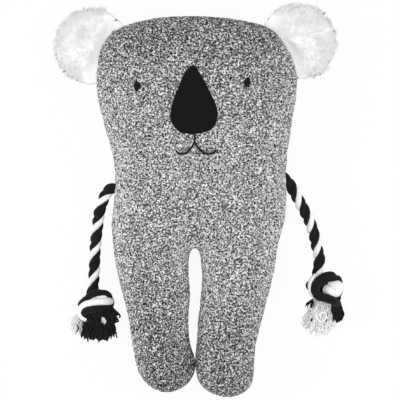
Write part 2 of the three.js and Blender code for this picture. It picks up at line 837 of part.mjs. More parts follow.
function add_arm(name, route, knot_angle, fray_length) {
  const points = arm_points(route);
  const rope = tube(points, rope_radius, 8, 5).add(ball(rope_radius, points[0]));
  const end = new THREE.Vector3(...route[route.length - 1]);
  const knot_heading = THREE.MathUtils.degToRad(knot_angle);
  const down = new THREE.Vector3(Math.sin(knot_heading), -Math.cos(knot_heading), 0);
  const centre = end.clone().addScaledVector(down, knot_length / 2 - rope_radius);
  const placing = new THREE.Matrix4().makeRotationZ(knot_heading);
  placing.setPosition(centre.x, centre.y, knot_thickness / 2 - rest_flat_depth);
  const place_solid = (solid) => solid.transform(placing.toArray());
  const rope_socket = tube(points, rope_radius + fit_gap, 8, 5);
  const fray_start = new THREE.Matrix4().makeTranslation(0, rope_radius - knot_length / 2, 0);
  const fray_top = placing.clone().multiply(fray_start);
  const fray = fray_form(fray_length, 0).transform(fray_top.toArray());
  const knot = place_solid(knot_form());
  const neck_hole = fray_form(fray_length, fit_gap).translate([0, fit_gap, 0]);
  const knot_cut = knot.subtract(rope_socket).subtract(neck_hole.transform(fray_top.toArray()));
  const over_floor = block(-cut_reach, cut_reach, above_floor, far_up);
  add_piece(`${name}_arm_rope`, rope, finish.rope);
  add_piece(`${name}_knot`, knot_cut.intersect(over_floor), finish.knot);
  add_piece(`${name}_frayed_end`, fray.intersect(over_floor), finish.yarn);
}

add_arm('left', left_arm_route, left_knot_angle, left_fray_length);
add_arm('right', right_arm_route, right_knot_angle, right_fray_length);

export default koala;
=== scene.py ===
import math

import bmesh
import bpy
import numpy as np
from bpy.props import FloatProperty, FloatVectorProperty, IntProperty, PointerProperty
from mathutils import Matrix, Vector
from mathutils.bvhtree import BVHTree


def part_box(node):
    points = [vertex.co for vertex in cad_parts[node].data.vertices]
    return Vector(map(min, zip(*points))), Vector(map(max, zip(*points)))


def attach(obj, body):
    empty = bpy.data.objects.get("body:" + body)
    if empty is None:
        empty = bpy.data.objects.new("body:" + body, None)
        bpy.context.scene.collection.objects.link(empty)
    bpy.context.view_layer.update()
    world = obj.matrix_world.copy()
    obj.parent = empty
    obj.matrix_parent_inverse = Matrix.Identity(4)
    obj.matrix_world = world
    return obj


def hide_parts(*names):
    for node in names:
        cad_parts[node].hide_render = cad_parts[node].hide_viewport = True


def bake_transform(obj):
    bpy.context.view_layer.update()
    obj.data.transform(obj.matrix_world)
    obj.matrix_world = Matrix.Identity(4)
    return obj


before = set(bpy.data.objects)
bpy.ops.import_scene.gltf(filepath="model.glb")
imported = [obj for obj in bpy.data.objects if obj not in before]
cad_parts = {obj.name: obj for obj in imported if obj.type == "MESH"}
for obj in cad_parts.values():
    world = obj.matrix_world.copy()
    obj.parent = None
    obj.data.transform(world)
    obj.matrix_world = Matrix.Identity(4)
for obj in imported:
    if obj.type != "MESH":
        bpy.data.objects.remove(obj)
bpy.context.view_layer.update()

bl_info = {
    "name": "Plush koala with rope arms",
    "version": (1, 0, 0),
    "blender": (4, 5, 0),
    "location": "3D View > Sidebar > Koala",
    "description": "Dresses the frame of a stuffed koala in curly cloth, fur, thread and rope",
    "category": "Object",
}

MM = 0.001
SEED = 20

# The photograph's frame: its middle in the toy's plane, and how many millimetres a pixel is there
PHOTO_PIXELS = 400
PHOTO_MM_PER_PIXEL = 0.87
PHOTO_MIDDLE_MM = (4.1, 0.2)

# Plane of the side seam
MID_Z_MM = 34.5

# Rope routes in millimetres. An arm's joint is at its first point.
LEFT_ARM_ROUTE_MM = [
    (-76.4, 7.4, 33.5), (-81.1, -1.9, 31.4), (-84.0, -11.6, 27.6), (-86.0, -25.0, 22.4),
    (-87.5, -36.5, 18.3), (-88.6, -48.5, 14.8), (-88.9, -59.3, 12.9), (-87.9, -69.4, 12.6),
    (-86.9, -81.5, 13.0),
]
RIGHT_ARM_ROUTE_MM = [
    (86.0, 7.3, 33.5), (91.2, -1.9, 31.3), (97.0, -12.5, 27.5), (101.3, -21.5, 23.8),
    (104.4, -31.0, 19.8), (106.9, -41.5, 16.2), (109.4, -51.5, 13.7), (111.8, -60.4, 12.8),
    (113.2, -67.0, 13.0),
]
SHOULDER_ROUTE_MM = [
    (-76.4, 7.4, 33.5), (-69.5, 11.9, 34.1), (-58.0, 17.0, 34.5), (-34.0, 23.5, 34.5),
    (0.0, 27.0, 34.5), (36.0, 30.0, 34.5), (60.0, 28.5, 34.5), (73.5, 22.5, 34.5),
    (80.9, 15.6, 34.1), (86.0, 7.3, 33.5),
]

# Overhand knots, drawn tight when the rope is made. The rope comes in on top behind a band,
# turns up on the right, crosses in front to the left, goes round the back and comes out below,
# in front of its first turn.
LEFT_KNOT_MM = [
    (-1, 34, 0), (-1, 25, -1), (-2, 15, -3), (-3, 6, -4.5), (-5, -4, -4), (-3, -11, -1), (5, -11, 2),
    (11, -5, 3), (13, 4, 4), (9, 9, 8), (1, 8, 11), (-7, 4, 10), (-13, -4, 5), (-13, -9, -3),
    (-7, -5, -10), (0, 1, -13), (6, 2, -9), (5, -2, -2), (3, -8, 6), (1, -16, 6), (1, -24, 2),
    (1, -34, 0),
]
RIGHT_KNOT_MM = [
    (-1, 34, 0), (-1, 25, -1), (-2, 15, -3), (-5, 6, -4), (-9, -2, -2), (-8, -9, 2), (0, -12, 4),
    (8, -8, 2), (12, 2, 4), (11, 11, 8), (4, 10, 11), (-4, 5, 10), (-9, 1, 4), (-8, 2, -7),
    (-1, 4, -13), (6, 3, -9), (5, -3, -4), (5, -9, 4), (4, -16, 5), (3, -24, 2), (3, -34, 0),
]
KNOT_DRAWS = 30
KNOT_HEIGHT_MM = 16
# How much smaller the knot gets as its soft ropes press into one another
KNOT_SQUASH = 0.9
# Where along the knot, in millimetres from its first point, the white strand lies on which side
LEFT_WHITE_SIDES = [
    (0, None), (10, None), (22, (0, 0, -1)), (36, (0, 0.3, -1)), (44, (0, -0.6, 0.7)),
    (52, (0, -0.9, -0.3)), (62, (0, -0.9, -0.3)), (76, (0, -0.9, -0.3)), (90, (-0.6, -0.8, 0)),
    (100, (0, -0.8, -0.5)), (112, (0, 0, -1)), (124, (0, 0, -1)),
]
RIGHT_WHITE_SIDES = [
    (0, None), (12, None), (28, (0.3, 0.3, -0.9)), (37, (0.8, -0.4, 0.4)), (44, (0.4, -0.7, 0)),
    (50, (0, -0.6, -0.8)), (60, (0, -0.3, -1)), (69, (-0.3, 0.3, -0.9)), (81, (-0.3, 0.3, -0.9)),
    (92, (-0.3, 0.5, -0.8)), (104, (0, -0.8, -0.5)), (118, (0, 0, -1)),
    (132, (-0.4, 0, -1)),
]
# Strands at the knots that have left the twist, from the rope's end, and the radius at both ends
LEFT_BLACK_STRAND_MM = [
    (8, 10.5, -2), (5, 8.8, 3), (-1, 6.8, 5.5), (-7, 5.8, 4.5), (-11, 3.8, 1.5), (-9.5, -0.2, -1),
    (-4, -4, -3),
]
LEFT_WHITE_STRAND_MM = [
    (12, 13.2, -1), (9, 13.2, 3), (4, 13, 5), (-4, 12.2, 5), (-11, 9.8, 2.5), (-14.6, 5, 0.5),
    (-13.8, 0.8, -0.5), (-10, -2, -1), (-6, -3, -4),
]
RIGHT_BLACK_STRAND_MM = [
    (-12.5, 16.5, 1), (-17.2, 13.5, 4), (-18.4, 8.3, 6), (-15.8, 3.2, 6.5), (-9.7, 1.5, 6.5),
    (-3, -1, 5), (1, -4, -2),
]
RIGHT_WHITE_STRAND_MM = [
    (-4, 14, -4), (0.5, 11.5, 1.5), (1.9, 8, 3), (-1, 6, 3.5), (-5, 7.5, 2.5), (-8, 9, -2),
]
RIGHT_EDGE_STRAND_MM = [
    (-17.4, 20.4, -3), (-21.2, 16.8, 1), (-22.5, 11.3, 2.5), (-21, 5, 1), (-17, 1.5, -3),
]
# Where tips of black yarn show among the white ones, from the right rope's end
RIGHT_BLACK_TIPS_MM = [(-21.2, -18.3, -2), (-8.2, -18.5, -1.5), (-2, -18.5, -2)]
# The knot's place is its middle in millimetres, its heading a lean in radians, and the twist the turns
# of the strands where the arm starts
ARMS = {
    "left": {"route": LEFT_ARM_ROUTE_MM, "knot": LEFT_KNOT_MM, "place": (-87.5, -87.6, 15.2),
             "heading": 0.04, "twist": -0.42, "white_sides": LEFT_WHITE_SIDES},
    "right": {"route": RIGHT_ARM_ROUTE_MM, "knot": RIGHT_KNOT_MM, "place": (114.2, -74.8, 14.6),
              "heading": 0.34, "twist": -0.36, "white_sides": RIGHT_WHITE_SIDES},
}

# Nose outline as shares of its width and height, from the point on top down the left side
NOSE_OUTLINE_SHARES = [
    (-0.054, 1), (-0.232, 0.859), (-0.331, 0.691), (-0.439, 0.51), (-0.505, 0.3), (-0.488, 0.196),
    (-0.415, 0.095), (-0.267, 0.023), (0.011, 0), (0.292, 0.045), (0.426, 0.119), (0.49, 0.24),
    (0.458, 0.421), (0.292, 0.667), (0.178, 0.814), (0.047, 0.959),
]
NOSE_PLACE_MM = (-0.7, 56.2)
NOSE_SIZE_MM = (40.4, 58.4)
MOUTH_SIZE_MM = (36.1, 16.8)
MOUTH_LINES_SHARES = [
    [(0, -0.02), (0.01, 0.24), (0, 0.44)],
    [(0, 0.38), (-0.053, 0.63), (-0.161, 0.9), (-0.272, 1), (-0.37, 0.95), (-0.43, 0.85)],
    [(0, 0.38), (0.113, 0.74), (0.224, 0.94), (0.335, 1), (0.446, 0.94), (0.516, 0.81)],
]
EYES_MM = {"left_eye": ((-49.6, 97.4), (4.6, 7.0)), "right_eye": ((44.2, 100.4), (5.2, 7.0))}

LEG_NODES = {
    side: [f"front_panel_{side}_hip", f"back_panel_{side}_hip",
           f"front_panel_{side}_leg", f"back_panel_{side}_leg"]
    for side in ("left", "right")
}
TRUNK_NODES = ["front_panel_body", "back_panel_body"]
FILLING_NODES = ["body_filling", "left_leg_filling", "right_leg_filling"]


# Sizes and colours that a user would change


def length(name, text, default):
    return FloatProperty(name=name, description=text, default=default, unit="LENGTH", precision=5)


def colour(name, text, default):
    return FloatVectorProperty(
        name=name, description=text, default=default, size=3, subtype="COLOR", min=0, max=1
    )


class CoverSettings(bpy.types.PropertyGroup):
    """The curly cloth of the body"""

    curl_size: length("Curl size", "Width of one curl of the pile", 0.0015)
    curl_height: length("Curl height", "How far the pile stands off the cloth", 0.0017)
    tone: FloatProperty(name="Tone", description="How light the heather grey is", default=0.655)
    contrast: FloatProperty(name="Contrast", description="Between light and dark fibres", default=3.0)
    dark: colour("Dark yarn", "Darkest colour between the curls", (0.006, 0.006, 0.006))
    light: colour("Light yarn", "Lightest colour of the curls' tips", (0.81, 0.79, 0.795))


class EarSettings(bpy.types.PropertyGroup):
    """The white pile of the ears"""

    pile_length: length("Pile length", "Length of one tuft of the fur", 0.0042)
    tufts: IntProperty(name="Tufts", description="Number of tufts on each ear", default=13500)
    white: colour("White", "Colour of the fur", (0.95, 0.935, 0.94))


class RopeSettings(bpy.types.PropertyGroup):
    """The twisted cotton rope"""

    diameter: length("Diameter", "Across the three strands", 0.010)
    lay: length("Lay", "Length in which a strand goes once round", 0.0245)
    black: colour("Black yarn", "Colour of two of the strands", (0.008, 0.008, 0.009))
    white: colour("White yarn", "Colour of the third strand", (0.91, 0.905, 0.90))


class FaceSettings(bpy.types.PropertyGroup):
    """The nose, the eyes and the mouth"""

    nose_puff: length("Nose puff", "How far the middle of the nose stands off the face", 0.0016)
    thread: length("Thread", "Thickness of the embroidery thread", 0.00075)
    black: colour("Black", "Colour of the nose cloth and the thread", (0.0045, 0.0040, 0.0050))


# Shader maths: a wrapped socket adds its own nodes


def feed(tree, socket, value):
    """Links a wrapped socket to another socket, or sets a plain value there"""
    if isinstance(value, Sock):
        tree.links.new(value.socket, socket)
    else:
        socket.default_value = value


class Sock:
    """A socket in a material that reads like a number in an expression"""

    def __init__(self, tree, socket):
        self.tree = tree
        self.socket = socket

    def node(self, kind, out=0, settings=None, **sockets):
        """Adds a node: its settings first, then its sockets, by name or as i with their number"""
        added = self.tree.nodes.new(kind)
        for key, value in (settings or {}).items():
            setattr(added, key, value)
        for key, value in sockets.items():
            feed(self.tree, added.inputs[int(key[1:]) if key[1:].isdigit() else key], value)
        return Sock(self.tree, added.outputs[out])

    def maths(self, operation, other):
        return self.node("ShaderNodeMath", settings={"operation": operation}, i0=self, i1=other)

    def __add__(self, other):
        return self.maths("ADD", other)

    def __sub__(self, other):
        return self.maths("SUBTRACT", other)

    def __mul__(self, other):
        return self.maths("MULTIPLY", other)

    def clamp(self):
        return self.node("ShaderNodeClamp", Value=self)

    def mix(self, low, high):
        """Colour from low to high as this value goes from 0 to 1"""
        return self.node("ShaderNodeMix", 2, {"data_type": "RGBA"}, i0=self, i6=(*low, 1), i7=(*high, 1))


def seen_rays(tree):
    """1 for rays that come from the camera, a mirror or glass, and 0 for those that carry light"""
    path = tree.nodes.new("ShaderNodeLightPath")
    camera, glossy, glass = (
        Sock(tree, path.outputs[f"Is {kind} Ray"]) for kind in ("Camera", "Glossy", "Transmission")
    )
    return camera.maths("MAXIMUM", glossy).maths("MAXIMUM", glass)


# Materials. Sizes of patterns and depths of bumps are in metres.


class Finish:
    """A material with one Principled shader and helpers to read attributes and patterns"""

    def __init__(self, name, roughness, sheen=0.0, specular=0.3):
        self.material = bpy.data.materials.new(name)
        self.material.use_nodes = True
        self.tree = self.material.node_tree
        self.shader = self.tree.nodes["Principled BSDF"]
        self.set("Roughness", roughness)
        self.set("Sheen Weight", sheen)
        self.set("Specular IOR Level", specular)
        coordinates = self.tree.nodes.new("ShaderNodeTexCoord")
        self.place = Sock(self.tree, coordinates.outputs["Object"])

    def set(self, socket, value):
        feed(self.tree, self.shader.inputs[socket], value)

    def attribute(self, name):
        return self.place.node("ShaderNodeAttribute", 2, {"attribute_name": name})

    def noise(self, size, detail=2.0, distortion=0.0, place=None):
        return self.place.node(
            "ShaderNodeTexNoise", Vector=place or self.place, Scale=1 / size, Detail=detail,
            Distortion=distortion,
        )

    def stretched(self, x, y, z):
        return self.place.node("ShaderNodeMapping", i0=self.place, i3=(x, y, z))

    def done(self, colour, height, depth):
        """The material with this colour, and bumps of this depth where the height varies"""
        self.set("Base Color", colour)
        self.set("Normal", self.place.node("ShaderNodeBump", Height=height, Distance=depth))
        return self.material


def toned(shade, factor):
    return [factor * part for part in shade]


def curly_cloth(settings):
    """Heather grey: curls with painted light on their tips and painted shade in the gaps, each curl spun of
    darker and lighter fibres
    """
    finish = Finish("curly cloth", roughness=0.95, sheen=0.25, specular=0.05)
    pile = finish.attribute("pile")
    # The painted light and shade noted on the cover's points
    shade = finish.attribute("shade")
    heather = finish.noise(settings.curl_size, detail=1.0, distortion=0.3)
    fibres = finish.noise(0.3 * settings.curl_size, detail=1.0)
    # The pile term paints shade into the gaps between the curls and light onto their tips
    tone = (
        shade + settings.tone + (pile - 0.5) * 0.12 + (heather - 0.5) * settings.contrast
        + (fibres - 0.5) * 0.3
    ).clamp()
    dark_for_longer = tone.maths("POWER", 2.5)
    return finish.done(dark_for_longer.mix(settings.dark, settings.light), heather + fibres * 0.3, 0.0005)


def fur(settings):
    finish = Finish("white fur", roughness=0.9, sheen=0.25, specular=0.15)
    soft = finish.noise(0.012, detail=3.0)
    shade = soft.mix(toned(settings.white, 0.93), settings.white)
    return finish.done(shade, finish.noise(0.0012), 0.00008)


def cotton(name, shade, painted_groove_shade):
    """Spun cotton with painted shade, darker by a factor in the grooves between its yarns"""
    finish = Finish(name, roughness=0.85, sheen=0.05, specular=0.15)
    fibre = finish.noise(0.0005)
    tone = (finish.attribute("groove") * 0.8 + fibre * 0.35).clamp()
    return finish.done(tone.mix(toned(shade, painted_groove_shade), shade), fibre, 0.00012)


def nose_cloth(settings):
    finish = Finish("nose cloth", roughness=0.85, specular=0.08)
    thread = 0.00055
    warp = finish.noise(thread, detail=1.0, place=finish.stretched(1.0, 0.35, 0.35))
    weft = finish.noise(thread, detail=1.0, place=finish.stretched(0.35, 1.0, 0.35))
    weave = warp * 0.5 + weft * 0.5
    return finish.done(weave.mix(toned(settings.black, 0.7), toned(settings.black, 1.4)), weave, 0.0002)


def embroidery(settings):
    finish = Finish("embroidery thread", roughness=0.7, specular=0.15)
    sheen = finish.noise(0.0006, detail=1.0)
    return finish.done(sheen.mix(toned(settings.black, 0.6), toned(settings.black, 1.2)), sheen, 0.0001)


def fibre_filling():
    finish = Finish("fibre filling", roughness=1.0, sheen=0.2)
    fluff = finish.noise(0.004, detail=4.0, distortion=1.0)
    return finish.done(fluff.mix((0.8, 0.79, 0.77), (0.95, 0.945, 0.93)), fluff, 0.001)


def squeaker_plastic():
    finish = Finish("squeaker plastic", roughness=0.35, specular=0.5)
    cloud = finish.noise(0.01)
    return finish.done(cloud.mix((0.78, 0.8, 0.82), (0.86, 0.88, 0.9)), cloud, 0.0001)


# Lines. All are arrays of points in metres, unless a name says millimetres.


def unit(vectors):
    """The same directions, each with a length of one"""
    return vectors / (np.linalg.norm(vectors, axis=-1, keepdims=True) + 1e-12)


def eased(share):
    """A share from 0 to 1 that starts and ends softly"""
    return share * share * (3 - 2 * share)


def around(sides):
    """Angles of the corners of a ring"""
    return np.arange(sides) / sides * 2 * math.pi


def run_along(line):
    """How far each point is from the line's start"""
    return np.concatenate([[0], np.cumsum(np.linalg.norm(np.diff(line, axis=0), axis=1))])


def evenly(line, count):
    """The line with this many points at equal distances"""
    run = run_along(line)
    marks = np.linspace(0, run[-1], count)
    return np.stack([np.interp(marks, run, values) for values in line.T], axis=1)


def curve_through(points, steps):
    """A Catmull-Rom curve from the second point to the last but one"""
    t = np.linspace(0, 1, steps, endpoint=False)[:, None]
    spans = [
        0.5 * (2 * b + (c - a) * t + (2 * a - 5 * b + 4 * c - d) * t * t + (3 * b - a - 3 * c + d) * t ** 3)
        for a, b, c, d in zip(points, points[1:], points[2:], points[3:])
    ]
    return np.vstack([*spans, points[-2]])


def smooth_line(points, step):
    """A smooth line through the points, cut into equal steps"""
    points = np.array(points, float)
    before, after = 2 * points[0] - points[1], 2 * points[-1] - points[-2]
    curve = curve_through(np.vstack([before, points, after]), 24)
    return evenly(curve, max(2, round(run_along(curve)[-1] / step) + 1))


def closed_outline(points, count):
    """A smooth closed line through the points, cut into equal steps"""
    ring = np.array([points[-1], *points, points[0], points[1]], float)
    return evenly(curve_through(ring, 16), count + 1)[:-1]


def across_lines(paths):
    """Two directions across each of many paths, at each point, that turn as little as they can"""
    tangents = unit(np.gradient(paths, axis=1))
    across = np.zeros_like(paths)
    lies_flat = np.abs(tangents[:, :1, 2]) < 0.8
    side = np.cross(tangents[:, 0], np.where(lies_flat, [[0.0, 0.0, 1.0]], [[1.0, 0.0, 0.0]]))
    for k in range(paths.shape[1]):
        side = unit(side - np.sum(side * tangents[:, k], axis=1, keepdims=True) * tangents[:, k])
        across[:, k] = side
    return across, np.cross(tangents, across)


def across_line(line):
    return [directions[0] for directions in across_lines(line[None])]


# Meshes


def add_object(name, data):
    added = bpy.data.objects.new(name, data)
    bpy.context.collection.objects.link(added)
    return added


def select_only(*pieces):
    """Selects these pieces and no others, with the first one active"""
    for other in bpy.context.selected_objects:
        other.select_set(False)
    for piece in pieces:
        piece.select_set(True)
    bpy.context.view_layer.objects.active = pieces[0] if pieces else None


def set_all(target, **values):
    for key, value in values.items():
        setattr(target, key, value)


def modify(piece, kind, **values):
    """Adds a modifier of a kind with these values and applies it"""
    modifier = piece.modifiers.new(kind, kind)
    set_all(modifier, **values)
    select_only(piece)
    bpy.ops.object.modifier_apply(modifier=modifier.name)


def points_of(mesh, what="co"):
    """The places of the mesh's points, or their normals"""
    values = np.empty(len(mesh.vertices) * 3, np.float32)
    mesh.vertices.foreach_get(what, values)
    return values.reshape(-1, 3)


def set_points(mesh, places):
    mesh.vertices.foreach_set("co", np.asarray(places, np.float32).ravel())
    mesh.update()


def note(mesh, name, values):
    """Keeps a value for each point, for the material to read"""
    layer = mesh.attributes.new(name, "FLOAT", "POINT")
    layer.data.foreach_set("value", np.asarray(values, np.float32).ravel())


def tree_of(mesh):
    """The mesh's surface as a tree that finds places on it"""
    mesh.calc_loop_triangles()
    return BVHTree.FromPolygons(
        [tuple(v.co) for v in mesh.vertices], [tuple(t.vertices) for t in mesh.loop_triangles]
    )


def mesh_piece(name, corners, face_groups):
    """A piece from corners and groups of faces, each group with one number of corners a face"""
    mesh = bpy.data.meshes.new(name)
    mesh.from_pydata(corners, [], [face for group in face_groups for face in group.tolist()])
    mesh.validate()
    mesh.shade_smooth()
    return add_object(name, mesh)


def walls_between(rings):
    """Faces between neighbouring rings. The last axis of rings holds the corner numbers of one ring."""
    after = np.roll(rings, -1, axis=-1)
    four = [rings[..., :-1, :], after[..., :-1, :], after[..., 1:, :], rings[..., 1:, :]]
    return np.stack(four, axis=-1).reshape(-1, 4)


def tubes(name, paths, radii, sides, ripple=1.0, groove=None):
    """One mesh of closed tubes. paths is tubes by points by 3, radii is tubes by points."""
    one, two = (directions[:, :, None] for directions in across_lines(paths))
    turn = around(sides)[:, None]
    reach = radii[:, :, None] * (ripple * np.ones(sides))
    corners = paths[:, :, None] + (np.cos(turn) * one + np.sin(turn) * two) * reach[..., None]
    rings = np.arange(reach.size).reshape(reach.shape)
    caps = np.concatenate([rings[:, 0, ::-1], rings[:, -1]])
    piece = mesh_piece(name, corners.reshape(-1, 3), [walls_between(rings), caps])
    if groove is not None:
        note(piece.data, "groove", groove)
    return piece


def joined(name, pieces):
    """Several pieces as one, with their materials kept"""
    select_only(*pieces)
    bpy.ops.object.join()
    pieces[0].name = name
    pieces[0].data.name = name
    return pieces[0]


def wear(piece, finish):
    """Gives the piece this finish and no other"""
    piece.data.materials.clear()
    piece.data.materials.append(finish)
    return piece


def fix(piece, body, node):
    """Makes the piece ride on a body and take the place of a node of the frame"""
    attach(piece, body)
    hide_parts(node)


# Stage


CAMERA_DISTANCE = 1.6
SENSOR_MM = 36.0
# How much of what the camera sees of the floor is even light of its own, and not shadow or lamplight
FLOOR_GLOW = 0.93
FLOOR_LEVEL = -0.0002
# Place of each lamp in metres, its width and its power in watts
LAMPS = {
    "key": ((0.0, 0.0, 0.9), 0.7, 4.5),
    "left rim": ((-1.3, 0.0, 0.75), 0.9, 7.0),
    "right rim": ((1.3, 0.0, 0.75), 0.9, 5.0),
}


class KOALA_OT_stage(bpy.types.Operator):
    """Pale floor, soft light and the photograph's camera"""

    bl_idname = "koala.stage"
    bl_label = "Stage"

    def execute(self, context):
        context.scene.view_settings.view_transform = "Standard"
        self.add_camera(context.scene)
        self.add_floor()
        self.add_sky(context.scene)
        for name, facts in LAMPS.items():
            self.add_lamp(name, *facts)
        return {"FINISHED"}

    def add_camera(self, scene):
        camera = bpy.data.cameras.new("camera")
        camera.sensor_width = SENSOR_MM
        camera.lens = SENSOR_MM * CAMERA_DISTANCE / (PHOTO_PIXELS * PHOTO_MM_PER_PIXEL * MM)
        scene.camera = add_object("camera", camera)
        x, y = PHOTO_MIDDLE_MM
        scene.camera.location = (x * MM, y * MM, MID_Z_MM * MM + CAMERA_DISTANCE)

    def add_floor(self):
        bpy.ops.mesh.primitive_plane_add(size=6.0, location=(0, 0, FLOOR_LEVEL))
        floor = bpy.context.object
        floor.name = "floor"
        wear(floor, self.white_ground())

    def white_ground(self):
        """Pale ground that looks almost evenly bright to the camera"""
        ground = Finish("pale ground", roughness=1.0, specular=0.0)
        ground.set("Base Color", (0.93, 0.93, 0.93, 1))
        tree = ground.tree
        lit = Sock(tree, ground.shader.outputs[0])
        glow = lit.node("ShaderNodeEmission", Color=(1, 1, 1, 1))
        mixed = lit.node("ShaderNodeMixShader", i0=seen_rays(tree) * FLOOR_GLOW, i1=lit, i2=glow)
        tree.links.new(mixed.socket, tree.nodes["Material Output"].inputs["Surface"])
        return ground.material

    def add_sky(self, scene):
        """A white sky that lights the toy with half of the strength that the camera sees"""
        scene.world = bpy.data.worlds.new("soft sky")
        scene.world.use_nodes = True
        tree = scene.world.node_tree
        background = tree.nodes["Background"]
        background.inputs["Color"].default_value = (1, 1, 1, 1)
        feed(tree, background.inputs["Strength"], seen_rays(tree) * 0.5 + 0.5)

    def add_lamp(self, name, place, size, power):
        lamp = bpy.data.lights.new(name, "AREA")
        set_all(lamp, shape="DISK", size=size, energy=power)
        toward_toy = Vector(place).to_track_quat("Z", "Y").to_euler()
        set_all(add_object(name, lamp), location=place, rotation_euler=toward_toy, visible_camera=False)


# Rope


COTTON = {}
ROPE = {}
# In radii of the rope: the steps of a knot's line, how close the middles of two lengths of rope may come,
# and how far apart along the rope they count as two
KNOT_STEP = 0.35
KNOT_CLOSEST = 1.8
KNOT_APART = 2.9
# In each of these rounds a knot's line is drawn in, straightened and pushed apart by these shares
KNOT_ROUNDS = 10
KNOT_DRAW = 0.03
KNOT_STRAIGHTEN = 0.04
KNOT_PUSH = 0.3
# Radius of a strand and of its helix, as shares of the rope's diameter
STRAND_RADIUS = 0.262
HELIX_RADIUS = 0.25
# Distances before and after an arm's joint, at which places on the route are worked out and not used further
ARM_BEND = (-0.005, 0.008)


def twist_along(line, directions, lay, start_turns=0.0, white_sides=()):
    """Turns of the strands at each point. Where a side is given, the white strand lies on it."""
    one, two = directions
    run = run_along(line)
    marks, turns = [0.0], [start_turns]
    for place, side in white_sides:
        step = min(int(np.searchsorted(run, place)), len(run) - 1)
        natural = (run[step] - marks[-1]) / lay
        if side is None:
            turns.append(turns[-1] + natural)
        else:
            aim = math.atan2(np.dot(side, two[step]), np.dot(side, one[step])) / (2 * math.pi)
            tight = turns[-1] + 0.6 * natural
            turns.append(aim + round(tight - aim))
        marks.append(run[step])
    turns.append(turns[-1] + (run[-1] - marks[-1]) / lay)
    marks.append(run[-1])
    twist = np.interp(run, marks, turns)
    weights = np.hanning(13)
    twist[6:-6] = np.convolve(twist, weights / weights.sum(), "valid")
    return twist


def plies(run, lay, yarns, sides):
    """How far a strand's surface stands out, from -1 to 1, where yarns wind round it once in each lay"""
    return np.cos(yarns * (around(sides) - 2 * math.pi * run[:, None] / lay))


def strand(name, path, radii, ply, depth, colour_name):
    """A strand whose yarns stand out by a share of its radius"""
    piece = tubes(
        name, path[None], np.broadcast_to(radii, (1, len(path))), ply.shape[1], (1 + depth * ply)[None],
        (ply + 1) / 2,
    )
    return wear(piece, COTTON[colour_name])


def rope(name, line, twist, directions, settings):
    """Three twisted strands along a line: a white one and two black ones, each of fine yarns"""
    one, two = directions
    ply = plies(run_along(line), 1.5 * settings.lay, yarns=8, sides=24)
    pieces = []
    for number, colour_name in enumerate(("white", "black", "black")):
        angle = 2 * math.pi * (twist[:, None] + number / 3)
        path = line + HELIX_RADIUS * settings.diameter * (np.cos(angle) * one + np.sin(angle) * two)
        pieces.append(strand(name, path, STRAND_RADIUS * settings.diameter, ply, 0.025, colour_name))
    return joined(name, pieces)


def drawn_tight(route, radius):
    """Pulls a knot tighter, while lengths of rope that touch push one another apart"""
    line = smooth_line(route, 0.3 * radius)
    for _ in range(KNOT_DRAWS):
        total = run_along(line)[-1]
        count = int(total / (KNOT_STEP * radius))
        line = evenly(line, count)
        order = np.arange(count)
        near = np.abs(order[:, None] - order) * total / (count - 1) < KNOT_APART * radius
        ends = line[[0, -1]].copy()
        for _ in range(KNOT_ROUNDS):
            line[1:-1] += KNOT_DRAW * (line[:-2] + line[2:] - 2 * line[1:-1])
            bend = line[:-4] - 4 * line[1:-3] + 6 * line[2:-2] - 4 * line[3:-1] + line[4:]
            line[2:-2] -= KNOT_STRAIGHTEN * bend
            for _ in range(3):
                between = line[:, None] - line
                far = np.linalg.norm(between, axis=2) + np.eye(count)
                push = np.where(near, 0, np.clip(KNOT_CLOSEST * radius - far, 0, None)) / far
                line += KNOT_PUSH * np.sum(push[..., None] * between, axis=1)
            line[[0, -1]] = ends
    return line


def knot_placed(facts, radius):
    """The knot's line in the toy's frame, in metres, without the straight rope above and below"""
    line = drawn_tight(np.array(facts["knot"], float), radius)
    inside = np.abs(line[:, 1]) < KNOT_HEIGHT_MM
    line = line[np.argmax(inside):len(inside) - np.argmax(inside[::-1])]
    cos, sin = math.cos(facts["heading"]), math.sin(facts["heading"])
    turned = line @ np.array([[cos, sin, 0], [-sin, cos, 0], [0, 0, 1]])
    return evenly((facts["place"] + KNOT_SQUASH * turned) * MM, int(run_along(line)[-1] / 5))


